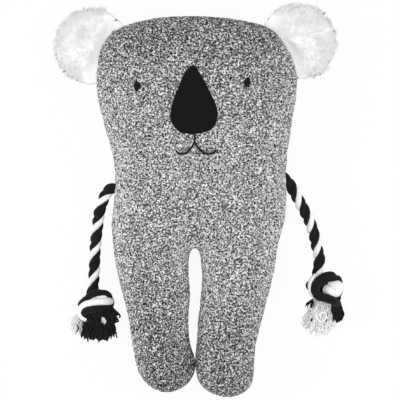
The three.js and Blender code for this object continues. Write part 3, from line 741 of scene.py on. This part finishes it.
class KOALA_OT_rope_arms(bpy.types.Operator):
    """Twisted rope through the shoulders and down each arm, tied in an overhand knot"""

    bl_idname = "koala.rope_arms"
    bl_label = "Rope arms and knots"

    def execute(self, context):
        settings = context.scene.koala_rope
        loose = [min(part, 1) for part in toned(settings.white, 1.06)]
        # The last number is how much of each colour is left in the painted shade of the grooves
        COTTON["black"] = cotton("black cotton", settings.black, 0.45)
        COTTON["white"] = cotton("white cotton", settings.white, 0.9)
        COTTON["loose"] = cotton("loose white cotton", loose, 0.95)
        self.add_shoulder_rope(settings)
        self.add_arm("left", SHOULDER_ROUTE_MM[2:0:-1], settings)
        self.add_arm("right", SHOULDER_ROUTE_MM[-3:-1], settings)
        return {"FINISHED"}

    def add_shoulder_rope(self, settings):
        line = smooth_line(np.array(SHOULDER_ROUTE_MM[2:-2]) * MM, 0.0012)
        directions = across_line(line)
        twist = twist_along(line, directions, settings.lay)
        piece = rope("shoulder_rope", line, twist, directions, settings)
        fix(piece, "torso", "body_rope")

    def add_arm(self, side, inside, settings):
        """The rope from inside the shoulder to the knot, and the knot as a piece of its own"""
        facts = ARMS[side]
        route = np.array(facts["route"]) * MM
        knot_points = knot_placed(facts, settings.diameter / 2 / MM)
        line = smooth_line(np.vstack([np.array(inside) * MM, route[:-2], knot_points]), 0.0007)
        start, cut = (int(np.argmin(np.linalg.norm(line - point, axis=1))) for point in knot_points[:2])
        knot_start = run_along(line)[start]
        sides = [(knot_start + place * MM, toward) for place, toward in facts["white_sides"]]
        directions = across_line(line)
        twist = twist_along(line, directions, settings.lay, facts["twist"], sides)
        arm, knot = (
            rope(name, line[part], twist[part], [way[part] for way in directions], settings)
            for name, part in (
                (f"{side}_rope_arm", slice(cut)), (f"{side}_overhand_knot", slice(cut - 1, None))
            )
        )
        before, after = [route[0] + reach * unit(route[1] - route[0]) for reach in ARM_BEND]
        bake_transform(arm)
        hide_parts(f"{side}_arm_rope")
        fix(knot, f"{side}_arm", f"{side}_knot")
        ROPE[side] = {"arm": arm, "knot": knot, "line": line[:cut], "end": line[-1]}


# Frayed ends


# Bundles of loose yarns, in millimetres: where each leaves the rope's end, how far it reaches to both sides,
# down, and up from the floor, how much shorter its outer yarns are, how wide its root is, how soon it opens
# out, and how often and how far its yarns wave
LEFT_BUNDLES = {
    "black": dict(
        count=340, points=14, start=(1, 5, -1), across=(-8.5, 8), down=(23, 26.5), height=(1, 21),
        rounding=0.12, root_width=9, uneven=0.25, flare=0.4, beats=2.4, wave=1.3,
    ),
    "aside": dict(
        count=210, points=14, start=(6.5, 9, 1), across=(0, 8.5), down=(8, 18), height=(6, 22),
        rounding=0.2, root_width=4, flare=0.5, beats=2.4, wave=1.3,
    ),
    "white": dict(
        count=260, points=12, start=(-10, 2, -6), across=(-12.5, 1), down=(7, 20), height=(1, 10),
        rounding=0.2, root_width=4, flare=0.6, beats=2.2, wave=1.6,
    ),
    "speck": dict(
        count=10, points=8, start=(5, -1, 2), across=(0.5, 3), down=(3, 6), height=(23.5, 24.5),
        rounding=0.1, root_width=1.5, flare=0.6, beats=1.6, wave=0.5,
    ),
}
RIGHT_BUNDLES = {
    "white": dict(
        count=560, points=14, start=(-8, 1, -9), across=(-15, 4), down=(24, 33), height=(1, 15),
        rounding=0.25, root_width=7, uneven=0.6, flare=0.85, beats=1.8, wave=1.3,
    ),
    "black": dict(
        count=150, points=12, start=(-1, 0, 1), across=(0.5, 5.5), down=(13, 21), height=(8, 19),
        rounding=0.1, root_width=3.5, uneven=0.6, flare=0.8, beats=1.6, wave=0.7,
    ),
    "ends": dict(
        count=16, points=10, start=(-19.8, -1, -5), across=(-4.5, -1.5), down=(4, 7.5), height=(16, 19),
        rounding=0.1, root_width=2.5, flare=0.8, beats=1.4, wave=0.4,
    ),
}
# One yarn that curls back on itself over the right rope's others, from the rope's end
CURLED_YARN_MM = [
    (-11, 2, -3), (-16.5, -6, 2), (-18, -13.5, 5), (-13.5, -19.5, 5.5), (-9, -16.5, 5.5),
    (-10, -11.5, 5), (-14, -12, 6), (-14, -16, 6.5),
]


def spread_yarns(
    rng, end, count, points, start, across, down, height, rounding, root_width, flare, beats, wave,
    uneven=1.0,
):
    """Paths of yarns that leave the rope's end and fan out, each with its own waves and reach"""
    share = np.linspace(0, 1, points)[None, :, None]
    pick = rng.uniform(-1, 1, (count, 1, 1))
    top = rng.uniform(*height, (count, 1, 1))
    drop = rng.uniform(*down, (count, 1, 1)) * (1 - rounding * pick ** 2)
    root = end / MM + start + np.array([0.5 * root_width, 0, 0]) * pick
    root = root + rng.normal(0, 0.25 * root_width, (count, 1, 3)) * [1, uneven, 1]
    path = root + np.concatenate([
        (np.mean(across) + np.ptp(across) / 2 * pick) * share ** flare,
        -drop * share,
        (top - root[..., 2:]) * np.clip(1.6 * share, 0, 1) ** 0.9,
    ], axis=2)
    phase = rng.uniform(0, 2 * math.pi, (count, 1, 3))
    beat = rng.uniform(0.6, beats, (count, 1, 3))
    return MM * (path + wave * np.sqrt(share) * np.sin(2 * math.pi * beat * share + phase))


def yarn_mesh(rng, paths, thick_mm, sides, colour_name):
    """Yarns of uneven thickness that taper at their tips and stay above the floor"""
    count, points = paths.shape[:2]
    taper = np.interp(np.linspace(0, 1, points), [0, 0.9, 1], [1, 1, 0.8])
    radii = thick_mm * MM * rng.uniform(0.7, 1.25, (count, 1)) * taper[None]
    paths[..., 2] = np.maximum(paths[..., 2], radii + 0.0002)
    # Each yarn is darker or lighter at random, by the cotton's groove factor
    groove = rng.uniform(0.1, 1.0, (count, 1, 1)) * np.ones((1, points, sides))
    return wear(tubes("yarns", paths, radii, sides, groove=groove), COTTON[colour_name])


def loose_strand(end, route_mm, radii_mm, colour_name):
    """A strand that has left the twist and folds over before its yarns come apart"""
    path = smooth_line(end + np.array(route_mm) * MM, 0.0008)
    ply = plies(run_along(path), lay=0.035, yarns=7, sides=20)
    return strand("loose_strand", path, np.linspace(*radii_mm, len(path)) * MM, ply, 0.03, colour_name)


class KOALA_OT_frayed_ends(bpy.types.Operator):
    """Combed-out yarns below each knot"""

    bl_idname = "koala.frayed_ends"
    bl_label = "Frayed ends"

    def execute(self, context):
        rng = np.random.default_rng(SEED)
        parts = {"left": self.left_yarns(rng, ROPE["left"]["end"])}
        parts["right"] = self.right_yarns(rng, ROPE["right"]["end"])
        for side, facts in ROPE.items():
            tassel = joined(f"{side}_tassel", parts[side])
            fix(tassel, f"{side}_arm", f"{side}_frayed_end")
            line = facts["line"]
            [tuple(p) for p in line[::4]] + [tuple(line[-1])]
        return {"FINISHED"}

    def left_yarns(self, rng, end):
        black, aside, white, speck = (spread_yarns(rng, end, **facts) for facts in LEFT_BUNDLES.values())
        return [
            yarn_mesh(rng, speck, 0.25, 4, "white"),
            yarn_mesh(rng, np.vstack([black, aside]), 0.7, 6, "black"),
            yarn_mesh(rng, white, 0.2, 4, "loose"),
            loose_strand(end, LEFT_BLACK_STRAND_MM, (3.3, 3.3), "black"),
            loose_strand(end, LEFT_WHITE_STRAND_MM, (3.3, 2.8), "white"),
        ]

    def right_yarns(self, rng, end):
        white, black, ends = (spread_yarns(rng, end, **facts) for facts in RIGHT_BUNDLES.values())
        curled = smooth_line(end + np.array(CURLED_YARN_MM) * MM, 0.0009)[None]
        tip = np.linspace([0.5, 1.2, 0], [-0.5, -1.2, 0], 6) * MM
        tips = (end + np.array(RIGHT_BLACK_TIPS_MM) * MM)[:, None] + tip
        return [
            yarn_mesh(rng, white, 0.34, 4, "loose"),
            yarn_mesh(rng, black, 0.6, 6, "black"),
            yarn_mesh(rng, ends, 0.45, 5, "black"),
            yarn_mesh(rng, curled, 0.75, 6, "white"),
            loose_strand(end, RIGHT_BLACK_STRAND_MM, (4.0, 3.6), "black"),
            loose_strand(end, RIGHT_WHITE_STRAND_MM, (4.2, 4.2), "white"),
            loose_strand(end, RIGHT_EDGE_STRAND_MM, (2.4, 2.2), "white"),
            yarn_mesh(rng, tips, 0.7, 6, "black"),
        ]


# Cover


COVER = {}
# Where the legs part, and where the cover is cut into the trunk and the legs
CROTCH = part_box("front_panel_body")[0][1]
# Distance from the middle at which a leg's outer side stays in place
LEG_REACH = 0.055
# The legs are moved apart, so that the cover's even mesh keeps them separate, and back again. The move
# starts this far above where they part, and is whole this much further down.
LEGS_APART = 0.006
LEGS_BACK = -0.0062
MOVE_FROM = 0.004
MOVE_OVER = 0.020
COVER_MESH_SIZE = 0.0045
# The cloth's simulation, its length in frames, and how far it may move a point
CLOTH = {
    "use_pressure": True, "uniform_pressure_force": 3.0, "quality": 5, "mass": 0.3,
    "tension_stiffness": 20, "compression_stiffness": 20, "bending_stiffness": 2,
}
CLOTH_FRAMES = 20
SWELL_MOST = 0.002
# The side seams hold the outline, so that the cloth swells more to the front and back
SEAM_HOLD = np.array([0.15, 0.15, 1.0])
# The pile makes the cover this much larger on each side than the cloth's cut
PILE_GROWTH = 0.0016
# Reach of the soft fold over the legs' gap, in metres to the side and along, and the lift of its top
CROTCH_REACH = (0.018, 0.014)
CROTCH_LIFT = 0.0008
# The hips' creases are smoothed from this distance to the middle
CREASE_FROM = 0.012
# Least distances of the cloth from the filling, the floor and the plane between the legs
OVER_FILLING = 0.0014
OVER_FLOOR = 0.0009
BESIDE_MIDDLE = 0.0004
# Weight below which a point counts as outside a fold
TOUCHED = 0.03
# How far the feet move together, up to which distance from the middle, and how far up the legs
FEET_CLOSER = 0.0015
FEET_WIDTH = 0.03
FEET_LENGTH_MM = 10
# The legs are kept apart from this much below the place where they part
LEGS_CLEAR_BELOW = 0.006
# Each cut is closed by walls that run to near this height, which lies inside the cloth everywhere
CUT_HEIGHT = 0.02
# Painted shade and light from feet to head, darker at both ends: place in millimetres, and how much is added
# there
PAINTED_SHADE_ALONG = [
    (-160, -0.15), (-122, -0.115), (-87, -0.05), (-35, 0.01), (20, 0.025), (61, 0.015), (96, -0.03),
    (131, -0.1), (155, -0.145),
]
# Painted light: how much is added toward the left and the right seam, where the cloth turns aside
PAINTED_SEAM_LIGHT = (0.16, 0.12)
# The left leg is darker by this much and the right leg lighter
LEG_SHADE = 0.03
# Where the feet press together, in millimetres, how far the painted shade of the pressed cloth reaches, and
# how dark it gets
FEET_SHADE_MM = (-2.0, -142.0)
FEET_SHADE_REACH_MM = (7.0, 13.0)
PAINTED_FEET_SHADE = -0.22


def legs_apart(places, shift):
    """Moves the legs' inner sides away from the middle, and nothing at their outer sides"""
    below = eased(np.clip((CROTCH + MOVE_FROM - places[:, 1]) / MOVE_OVER, 0, 1))
    near = np.clip(1 - np.abs(places[:, 0]) / LEG_REACH, 0, 1)
    places[:, 0] += np.sign(places[:, 0]) * shift * below * near
    return places


def copy_of_nodes(name, nodes, shift=0.0):
    """One mesh with the outer form of several nodes of the frame, with the legs moved apart"""
    built = bmesh.new()
    for node in nodes:
        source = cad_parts[node]
        part = source.data.copy()
        part.transform(source.matrix_world)
        set_points(part, legs_apart(points_of(part), shift))
        built.from_mesh(part)
        bpy.data.meshes.remove(part)
    bmesh.ops.remove_doubles(built, verts=built.verts, dist=1e-6)
    mesh = bpy.data.meshes.new(name)
    built.to_mesh(mesh)
    built.free()
    return add_object(name, mesh)


def outer_shell(piece):
    """The largest shell of the piece, without those inside it, such as the squeaker's pocket"""
    select_only(piece)
    bpy.ops.mesh.separate(type="LOOSE")
    *inner, outer = sorted(bpy.context.selected_objects, key=lambda shell: len(shell.data.vertices))
    for shell in inner:
        bpy.data.objects.remove(shell)
    return outer


def swell(piece):
    """Blows the cloth up a little with a simulation, in which no point moves further than it may"""
    select_only(piece)
    before = points_of(piece.data)
    cloth = piece.modifiers.new("cloth", "CLOTH")
    cloth.settings.effector_weights.gravity = 0
    set_all(cloth.settings, **CLOTH)
    scene = bpy.context.scene
    for number in range(1, CLOTH_FRAMES + 1):
        scene.frame_set(number)
    bpy.ops.object.modifier_apply(modifier=cloth.name)
    scene.frame_set(1)
    moved = (points_of(piece.data) - before) * SEAM_HOLD
    far = np.linalg.norm(moved, axis=1, keepdims=True)
    set_points(piece.data, before + moved * np.minimum(1, SWELL_MOST / np.maximum(far, 1e-9)))


def random_field(places, size, seed):
    """A smooth random value between 0 and 1 at each place, with patches of the given size"""
    cell = np.floor(places / size).astype(np.int64)
    share = eased(places / size - cell)
    total = np.zeros(len(places))
    for corner in range(8):
        step = np.array([corner & 1, corner >> 1 & 1, corner >> 2])
        x, y, z = (cell + step).T
        mixed = (x * 73856093 ^ y * 19349663 ^ z * 83492791 ^ seed * 2654435761) & 0xFFFFFFFF
        mixed = (mixed ^ mixed >> 13) * 1274126177 & 0xFFFFFFFF
        value = ((mixed ^ mixed >> 16) & 0xFFFF) / 0xFFFF
        total += value * np.prod(np.where(step, share, 1 - share), axis=1)
    return total


def painted_shade_of(places, normals):
    """Painted light and shade added to the cloth's tone: painted shade at both ends and where the feet press
    together, painted light along the side seams, and the left leg darker than the right
    """
    x, y = places[:, 0] / MM, places[:, 1] / MM
    # Painted shade at both ends of the body, a little painted light in the middle
    along = np.interp(y, *np.array(PAINTED_SHADE_ALONG).T)
    # Painted light where the cloth turns toward the side seams
    aside = np.clip(np.abs(normals[:, 0]) - 0.3, 0, 1) * np.where(normals[:, 0] < 0, *PAINTED_SEAM_LIGHT)
    # Painted shade where the feet press together
    away = (places[:, :2] / MM - FEET_SHADE_MM) / FEET_SHADE_REACH_MM
    pressed = PAINTED_FEET_SHADE * np.exp(-np.sum(away ** 2, axis=1))
    uneven = LEG_SHADE * np.clip(x / 20, -1, 1) * np.clip(-y / 30 - 1, 0, 1)
    return along + aside + pressed + uneven


def curls(piece, settings):
    """Raises the worm-like curls of the pile and notes how high each point stands"""
    places = points_of(piece.data).astype(float)
    normals = points_of(piece.data, "normal").copy()
    size = settings.curl_size
    bend = np.stack([random_field(places, 1.3 * size, seed) for seed in (1, 2, 3)], axis=1) - 0.5
    warped = places + 1.1 * size * bend
    height = np.zeros(len(places))
    for seed, share in ((11, 1.0), (12, 0.8)):
        ridge = 1 - np.abs(random_field(warped, 1.4 * size, seed) - 0.5) * 7
        height = np.maximum(height, share * np.sqrt(np.clip(ridge, 0, 1)))
    height += 0.35 * (random_field(places, 0.45 * size, 17) - 0.5)
    pile = np.clip(height, 0, 1)
    set_points(piece.data, places + normals * (settings.curl_height * (pile - 0.6))[:, None])
    note(piece.data, "pile", pile)
    # The painted light and shade that the cloth's material adds to its tone
    note(piece.data, "shade", painted_shade_of(places, normals))


def part_of(piece, name, planes):
    """A copy of the piece, cut by planes and closed. Each plane is a point and a direction that is kept."""
    cut = piece.copy()
    cut.data = piece.data.copy()
    cut.name = name
    cut.data.name = name
    bpy.context.collection.objects.link(cut)
    select_only(cut)
    for place, kept in planes:
        bpy.ops.object.mode_set(mode="EDIT")
        bpy.ops.mesh.select_all(action="SELECT")
        bpy.ops.mesh.bisect(plane_co=place, plane_no=kept, clear_inner=True, threshold=1e-7)
        bpy.ops.mesh.mark_sharp()
        bpy.ops.mesh.extrude_edges_move()
        bpy.ops.transform.resize(value=(1, 1, 0.02), center_override=(0, 0, CUT_HEIGHT))
        bpy.ops.mesh.select_all(action="SELECT")
        bpy.ops.mesh.fill_holes(sides=0)
        bpy.ops.mesh.delete_loose()
        bpy.ops.mesh.select_all(action="SELECT")
        bpy.ops.mesh.normals_make_consistent(inside=False)
        bpy.ops.object.mode_set(mode="OBJECT")
    return cut


class KOALA_OT_cover(bpy.types.Operator):
    """The curly cloth of head, trunk and legs, blown up by its stuffing"""

    bl_idname = "koala.cover"
    bl_label = "Cover"

    def execute(self, context):
        settings = context.scene.koala_cover
        form = self.stuffed_form()
        self.ease_crotch(form)
        self.keep_clear(form)
        modify(form, "SUBSURF", levels=2)
        COVER["surface"] = tree_of(form.data)
        modify(form, "SUBSURF", levels=1)
        curls(form, settings)
        wear(form, curly_cloth(settings))
        hips = (0, CROTCH, 0)
        trunk = part_of(form, "cover_body", [(hips, (0, 1, 0))])
        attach(trunk, "torso")
        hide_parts(*TRUNK_NODES)
        for side, sign in (("left", -1), ("right", 1)):
            leg = part_of(form, f"cover_{side}_leg", [(hips, (0, -1, 0)), ((0, 0, 0), (sign, 0, 0))])
            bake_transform(leg)
            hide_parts(*LEG_NODES[side])
        bpy.data.objects.remove(form)
        return {"FINISHED"}

    def stuffed_form(self):
        """The whole cover as one even mesh, grown by its stuffing and its pile"""
        nodes = TRUNK_NODES + LEG_NODES["left"] + LEG_NODES["right"] + FILLING_NODES
        form = copy_of_nodes("cover_form", nodes, LEGS_APART)
        modify(form, "REMESH", mode="VOXEL", voxel_size=COVER_MESH_SIZE)
        form = outer_shell(form)
        modify(form, "SMOOTH", factor=0.5, iterations=5)
        set_points(form.data, legs_apart(points_of(form.data), LEGS_BACK))
        swell(form)
        modify(form, "SMOOTH", factor=0.5, iterations=2)
        places = points_of(form.data)
        out = np.clip(np.abs(places[:, :1]) / LEG_REACH, 0, 1) * np.where(places[:, 1:2] < 0, 1, [1, 0, 1])
        set_points(form.data, places + PILE_GROWTH * out * points_of(form.data, "normal"))
        return form

    def ease_crotch(self, form):
        """Smooths the fold over the legs' gap and the crease of the hips, and raises the gap's round top"""
        places = points_of(form.data)
        along = ((places[:, 1] - CROTCH) / CROTCH_REACH[1]) ** 2
        near = np.exp(-((places[:, 0] / CROTCH_REACH[0]) ** 2 + along))
        crease = np.clip(np.abs(places[:, 0]) / CREASE_FROM - 1, 0, 1) * np.exp(-along)
        places[:, 1] += CROTCH_LIFT * near
        set_points(form.data, places)
        for name, weights, repeats in (("crotch", near, 18), ("crease", crease, 12)):
            group = form.vertex_groups.new(name=name)
            for index in np.flatnonzero(weights > TOUCHED):
                group.add([int(index)], float(weights[index]), "REPLACE")
            modify(form, "SMOOTH", factor=0.5, iterations=repeats, vertex_group=group.name)
        self.keep_over_filling(form, np.flatnonzero(near > TOUCHED))

    def keep_over_filling(self, form, spots):
        """Moves those spots of the cloth out that would lie too close over the filling"""
        filling = copy_of_nodes("filling_form", FILLING_NODES)
        tree = tree_of(filling.data)
        bpy.data.objects.remove(filling)
        places = points_of(form.data)
        for index in spots:
            place = Vector(places[index].tolist())
            near, normal, _, _ = tree.find_nearest(place, 0.006)
            if near is not None and (place - near).dot(normal) < OVER_FILLING:
                places[index] = near + OVER_FILLING * normal
        set_points(form.data, places)

    def keep_clear(self, form):
        """Keeps the cloth off the floor, and the legs off each other with their feet just in touch"""
        places = points_of(form.data)
        places[:, 2] = np.maximum(places[:, 2], OVER_FLOOR)
        feet = np.exp(-((places[:, 1] / MM - FEET_SHADE_MM[1]) / FEET_LENGTH_MM) ** 2)
        inside = np.clip(1 - np.abs(places[:, 0]) / FEET_WIDTH, 0, 1)
        closer = np.abs(places[:, 0]) - FEET_CLOSER * feet * inside
        own_side = np.where(places[:, 0] < 0, -1, 1) * np.maximum(closer, BESIDE_MIDDLE)
        places[:, 0] = np.where(places[:, 1] < CROTCH - LEGS_CLEAR_BELOW, own_side, places[:, 0])
        set_points(form.data, places)


def on_face(x, y, lift):
    """The point of the cover's front over a place, lifted off the cloth"""
    spot, normal, _, _ = COVER["surface"].ray_cast(Vector((x, y, 0.2)), Vector((0, 0, -1)))
    return spot + normal * lift


# Ears


# Centre and sewn root of each ear in millimetres, and the angle at which it stands out, in degrees
EAR_FACTS = {
    "left": {"centre": (-89.3, 133.8), "out": 160.0, "root": (-82.5, 131.4)},
    "right": {"centre": (88.8, 137.4), "out": 29.0, "root": (79.2, 133.9)},
}
# The pad is as much smaller than the ear as the fur adds, and as thick as a wedge near its root
PAD_RADIUS = 0.034 - 0.0018
PAD_HALF_THICKNESS = 0.0062
WEDGE_HALF_THICKNESS = 0.0012
WEDGE_RISE = 0.62
LUMP_SIZE = 0.012
LUMP_HEIGHT = 0.0032
TUFT_RADIUS = 0.00022
# How deep in the pad a tuft starts, and how far from the root the tufts reach their full length
TUFT_DEPTH = 0.0006
FULL_TUFTS_FROM = 0.009


def ear_places(side):
    """An ear's centre and root on the plane of the seam, and the direction in which it stands out"""
    facts = EAR_FACTS[side]
    centre, root = (np.array([*facts[key], MID_Z_MM]) * MM for key in ("centre", "root"))
    out = math.radians(facts["out"])
    return centre, root, np.array([math.cos(out), math.sin(out), 0.0])


def soft_normals(normals):
    """Normals for fur, which spreads the light: turned toward the front or the back of the ear"""
    toward = np.clip(4 * (normals[:, 2:] + 0.2), -1, 1) * [0, 0, 1]
    return unit(0.4 * normals + 0.6 * toward)


class KOALA_OT_ears(bpy.types.Operator):
    """Round pads of white fur, sewn in along the head's side seam"""

    bl_idname = "koala.ears"
    bl_label = "Ears"

    def execute(self, context):
        settings = context.scene.koala_ears
        finish = fur(settings)
        rng = np.random.default_rng(SEED + 1)
        for side in EAR_FACTS:
            pad = self.add_pad(side)
            tufts = self.add_tufts(side, pad.data, settings, rng)
            for piece in (pad, tufts):
                wear(piece, finish)
                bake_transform(piece)
            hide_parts(f"{side}_ear_front_panel", f"{side}_ear_back_panel")
        return {"FINISHED"}

    def add_pad(self, side):
        """A round pad, thin at its root, with soft lumps where the pile parts"""
        bpy.ops.mesh.primitive_uv_sphere_add(segments=64, ring_count=32, radius=1.0)
        pad = bpy.context.object
        pad.name = f"{side}_ear_pad"
        pad.data.name = pad.name
        centre, root, ahead = ear_places(side)
        ball = points_of(pad.data)
        flat = ball * [1, 1, 0]
        places = centre + PAD_RADIUS * flat
        wedge = WEDGE_HALF_THICKNESS + WEDGE_RISE * np.maximum((places - root) @ ahead, 0)
        rise = PAD_HALF_THICKNESS * np.sqrt(np.clip(1 - np.linalg.norm(flat, axis=1) ** 3.2, 0, 1))
        places[:, 2] += np.minimum(rise, wedge) * np.sign(ball[:, 2])
        set_points(pad.data, places)
        modify(pad, "SUBSURF", levels=1)
        texture = bpy.data.textures.new(f"{side} ear lumps", "CLOUDS")
        set_all(texture, noise_scale=LUMP_SIZE, noise_depth=2)
        modify(
            pad, "DISPLACE", texture=texture, texture_coords="LOCAL", strength=LUMP_HEIGHT, mid_level=0.6
        )
        pad.data.normals_split_custom_set_from_vertices(soft_normals(points_of(pad.data, "normal")))
        return pad

    def add_tufts(self, side, mesh, settings, rng):
        """Soft tufts of pile that lean outwards"""
        mesh.calc_loop_triangles()
        triangles = np.array([t.vertices[:] for t in mesh.loop_triangles])
        corners = points_of(mesh)[triangles]
        sides = corners[:, 1:] - corners[:, :1]
        areas = np.linalg.norm(np.cross(sides[:, 0], sides[:, 1]), axis=1)
        chosen = rng.choice(len(triangles), settings.tufts, p=areas / areas.sum())
        mix = rng.dirichlet((1, 1, 1), settings.tufts)
        base = np.einsum("ij,ijk->ik", mix, corners[chosen])
        normal = unit(np.einsum("ij,ijk->ik", mix, points_of(mesh, "normal")[triangles[chosen]]))
        centre, root, ahead = ear_places(side)
        outwards = unit((base - centre) * [1, 1, 0])
        x, y, _ = base.T
        swirl = np.stack([np.sin(x * 260 + y * 150), np.cos(y * 240), 0 * x], axis=1)
        lean = unit(normal * 0.3 + outwards * 0.7 + swirl * 0.35 + rng.normal(0, 0.16, base.shape))
        share = np.array([0.0, 0.5, 1.0])[None, :, None]
        reach = settings.pile_length * rng.uniform(0.6, 1.0, (len(base), 1, 1))
        reach *= np.clip((base - root) @ ahead / FULL_TUFTS_FROM, 0.4, 1)[:, None, None]
        bend = rng.normal(0, 0.2, (len(base), 1, 3))
        start = base - TUFT_DEPTH * normal
        path = start[:, None] + reach * (lean[:, None] * share + bend * share ** 2)
        radii = TUFT_RADIUS * rng.uniform(0.7, 1.3, (len(base), 1)) * np.array([[1.0, 0.9, 0.3]])
        tufts = tubes(f"{side}_ear_fur", path, radii, sides=3)
        tufts.data.normals_split_custom_set_from_vertices(np.repeat(soft_normals(normal), 9, axis=0))
        return tufts


# Face


# The nose from its turned edge to its middle: size of each ring as a share of the outline, and how far
# it stands off the cloth when the nose has its usual puff
NOSE_RINGS = [
    (1.0, -0.0015), (1.0, 0.0009), (0.985, 0.0016), (0.955, 0.0019), (0.9, 0.0020), (0.8, 0.0024),
    (0.66, 0.0028), (0.5, 0.0031), (0.34, 0.0033), (0.18, 0.0034), (0.05, 0.0034),
]
NOSE_EDGE_HEIGHT = 0.0019
NOSE_USUAL_PUFF = 0.0016
NOSE_CORNERS = 96
EYE_ROWS = 13
EYE_HEIGHT = 0.0023
# How high thread lies on the cloth, and how much higher the middle of a stitch of the mouth
EYE_THREAD_LIFT = 0.0008
MOUTH_THREAD_LIFT = 0.0016
MOUTH_ARCH = 0.0008
# Points of one stitch of the mouth, and how many of them lead to the next stitch
STITCH_POINTS = 6
STITCH_STEP = 4


class KOALA_OT_nose(bpy.types.Operator):
    """A patch of smooth black cloth with a turned edge, sewn on over the curls"""

    bl_idname = "koala.nose"
    bl_label = "Nose"

    def execute(self, context):
        settings = context.scene.koala_face
        place, size = np.array(NOSE_PLACE_MM) * MM, np.array(NOSE_SIZE_MM) * MM
        outline = closed_outline(place + np.array(NOSE_OUTLINE_SHARES) * size, NOSE_CORNERS)
        heart = place + [0, 0.4 * size[1]]
        corners = []
        for share, height in NOSE_RINGS:
            above_edge = max(height - NOSE_EDGE_HEIGHT, 0) * (settings.nose_puff / NOSE_USUAL_PUFF - 1)
            for x, y in heart + (outline - heart) * share:
                corners.append(on_face(x, y, height + above_edge))
        rings = np.arange(len(corners)).reshape(-1, NOSE_CORNERS)
        faces = [walls_between(rings), rings[-1:], rings[:1, ::-1]]
        nose = mesh_piece("nose_cloth", np.array(corners), faces)
        modify(nose, "SUBSURF", levels=1)
        fix(wear(nose, nose_cloth(settings)), "torso", "nose_patch")
        return {"FINISHED"}


class KOALA_OT_eyes(bpy.types.Operator):
    """Small ovals of satin stitch"""

    bl_idname = "koala.eyes"
    bl_label = "Eyes"

    def execute(self, context):
        settings = context.scene.koala_face
        finish = embroidery(settings)
        rng = np.random.default_rng(SEED + 2)
        for name, (place, size) in EYES_MM.items():
            rows = (np.arange(EYE_ROWS) + 0.5) / EYE_ROWS * 2 - 1
            paths = np.array([self.stitch(share, place, size, rng) for share in rows])
            radii = np.full(paths.shape[:2], settings.thread * 0.62)
            eye = wear(tubes(f"{name}_stitches", paths, radii, sides=8), finish)
            fix(eye, "torso", name)
        return {"FINISHED"}

    def stitch(self, share, place, size, rng):
        """A slanted stitch across the eye at a height from -1 to 1, with its ends in the cloth"""
        half = size[0] / 2 * math.sqrt(1 - share * share) * rng.uniform(0.95, 1.12)
        points = []
        for step in np.linspace(-1, 1, 9):
            x = (place[0] + step * half) * MM
            y = (place[1] + share * size[1] / 2 + 0.25 * step) * MM
            dome = EYE_HEIGHT * (1 - step ** 4) * math.sqrt(1 - 0.7 * share * share)
            points.append(on_face(x, y, dome + (EYE_THREAD_LIFT if abs(step) < 1 else -EYE_THREAD_LIFT)))
        return points


class KOALA_OT_mouth(bpy.types.Operator):
    """A line of back stitches below the nose"""

    bl_idname = "koala.mouth"
    bl_label = "Mouth"

    def execute(self, context):
        settings = context.scene.koala_face
        arch = np.sin(np.linspace(0.15, math.pi - 0.15, STITCH_POINTS))
        lifts = MOUTH_THREAD_LIFT + MOUTH_ARCH * arch
        stitches = []
        for shares in MOUTH_LINES_SHARES:
            route = (NOSE_PLACE_MM + np.array(shares) * MOUTH_SIZE_MM * [1, -1]) * MM
            walk = smooth_line(route, 0.00065)
            for start in range(0, len(walk) - 3, STITCH_STEP):
                first = min(start, len(walk) - STITCH_POINTS)
                stitch = walk[first:first + STITCH_POINTS]
                stitches.append([on_face(x, y, lift) for (x, y), lift in zip(stitch, lifts)])
        paths = np.array(stitches)
        mouth = tubes("mouth_stitches", paths, np.full(paths.shape[:2], settings.thread * 1.1), sides=8)
        fix(wear(mouth, embroidery(settings)), "torso", "mouth_stitch")
        return {"FINISHED"}


class KOALA_OT_stuffing(bpy.types.Operator):
    """Finishes of the filling and the squeaker inside"""

    bl_idname = "koala.stuffing"
    bl_label = "Stuffing"

    def execute(self, context):
        filling, plastic = fibre_filling(), squeaker_plastic()
        for name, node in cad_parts.items():
            if name.endswith("_filling"):
                wear(node, filling)
            if name.startswith("squeaker"):
                wear(node, plastic)
        return {"FINISHED"}


class KOALA_PT_panel(bpy.types.Panel):
    """Lists the steps that dress the toy"""

    bl_label = "Plush koala"
    bl_idname = "KOALA_PT_panel"
    bl_space_type = "VIEW_3D"
    bl_region_type = "UI"
    bl_category = "Koala"

    def draw(self, context):
        for step in STEPS:
            self.layout.operator(step.bl_idname)


STEPS = (
    KOALA_OT_stage, KOALA_OT_rope_arms, KOALA_OT_frayed_ends, KOALA_OT_cover, KOALA_OT_ears,
    KOALA_OT_nose, KOALA_OT_eyes, KOALA_OT_mouth, KOALA_OT_stuffing,
)
SETTINGS = {
    "koala_cover": CoverSettings,
    "koala_ears": EarSettings,
    "koala_rope": RopeSettings,
    "koala_face": FaceSettings,
}


def register():
    for group in SETTINGS.values():
        bpy.utils.register_class(group)
    for name, group in SETTINGS.items():
        setattr(bpy.types.Scene, name, PointerProperty(type=group))
    for step in STEPS:
        bpy.utils.register_class(step)
    bpy.utils.register_class(KOALA_PT_panel)


def unregister():
    bpy.utils.unregister_class(KOALA_PT_panel)
    for step in reversed(STEPS):
        bpy.utils.unregister_class(step)
    for name, group in SETTINGS.items():
        delattr(bpy.types.Scene, name)
        bpy.utils.unregister_class(group)


def main():
    register()
    select_only()
    for step in STEPS:
        getattr(bpy.ops.koala, step.bl_idname.split(".")[1])()


if __name__ == "__main__":
    main()
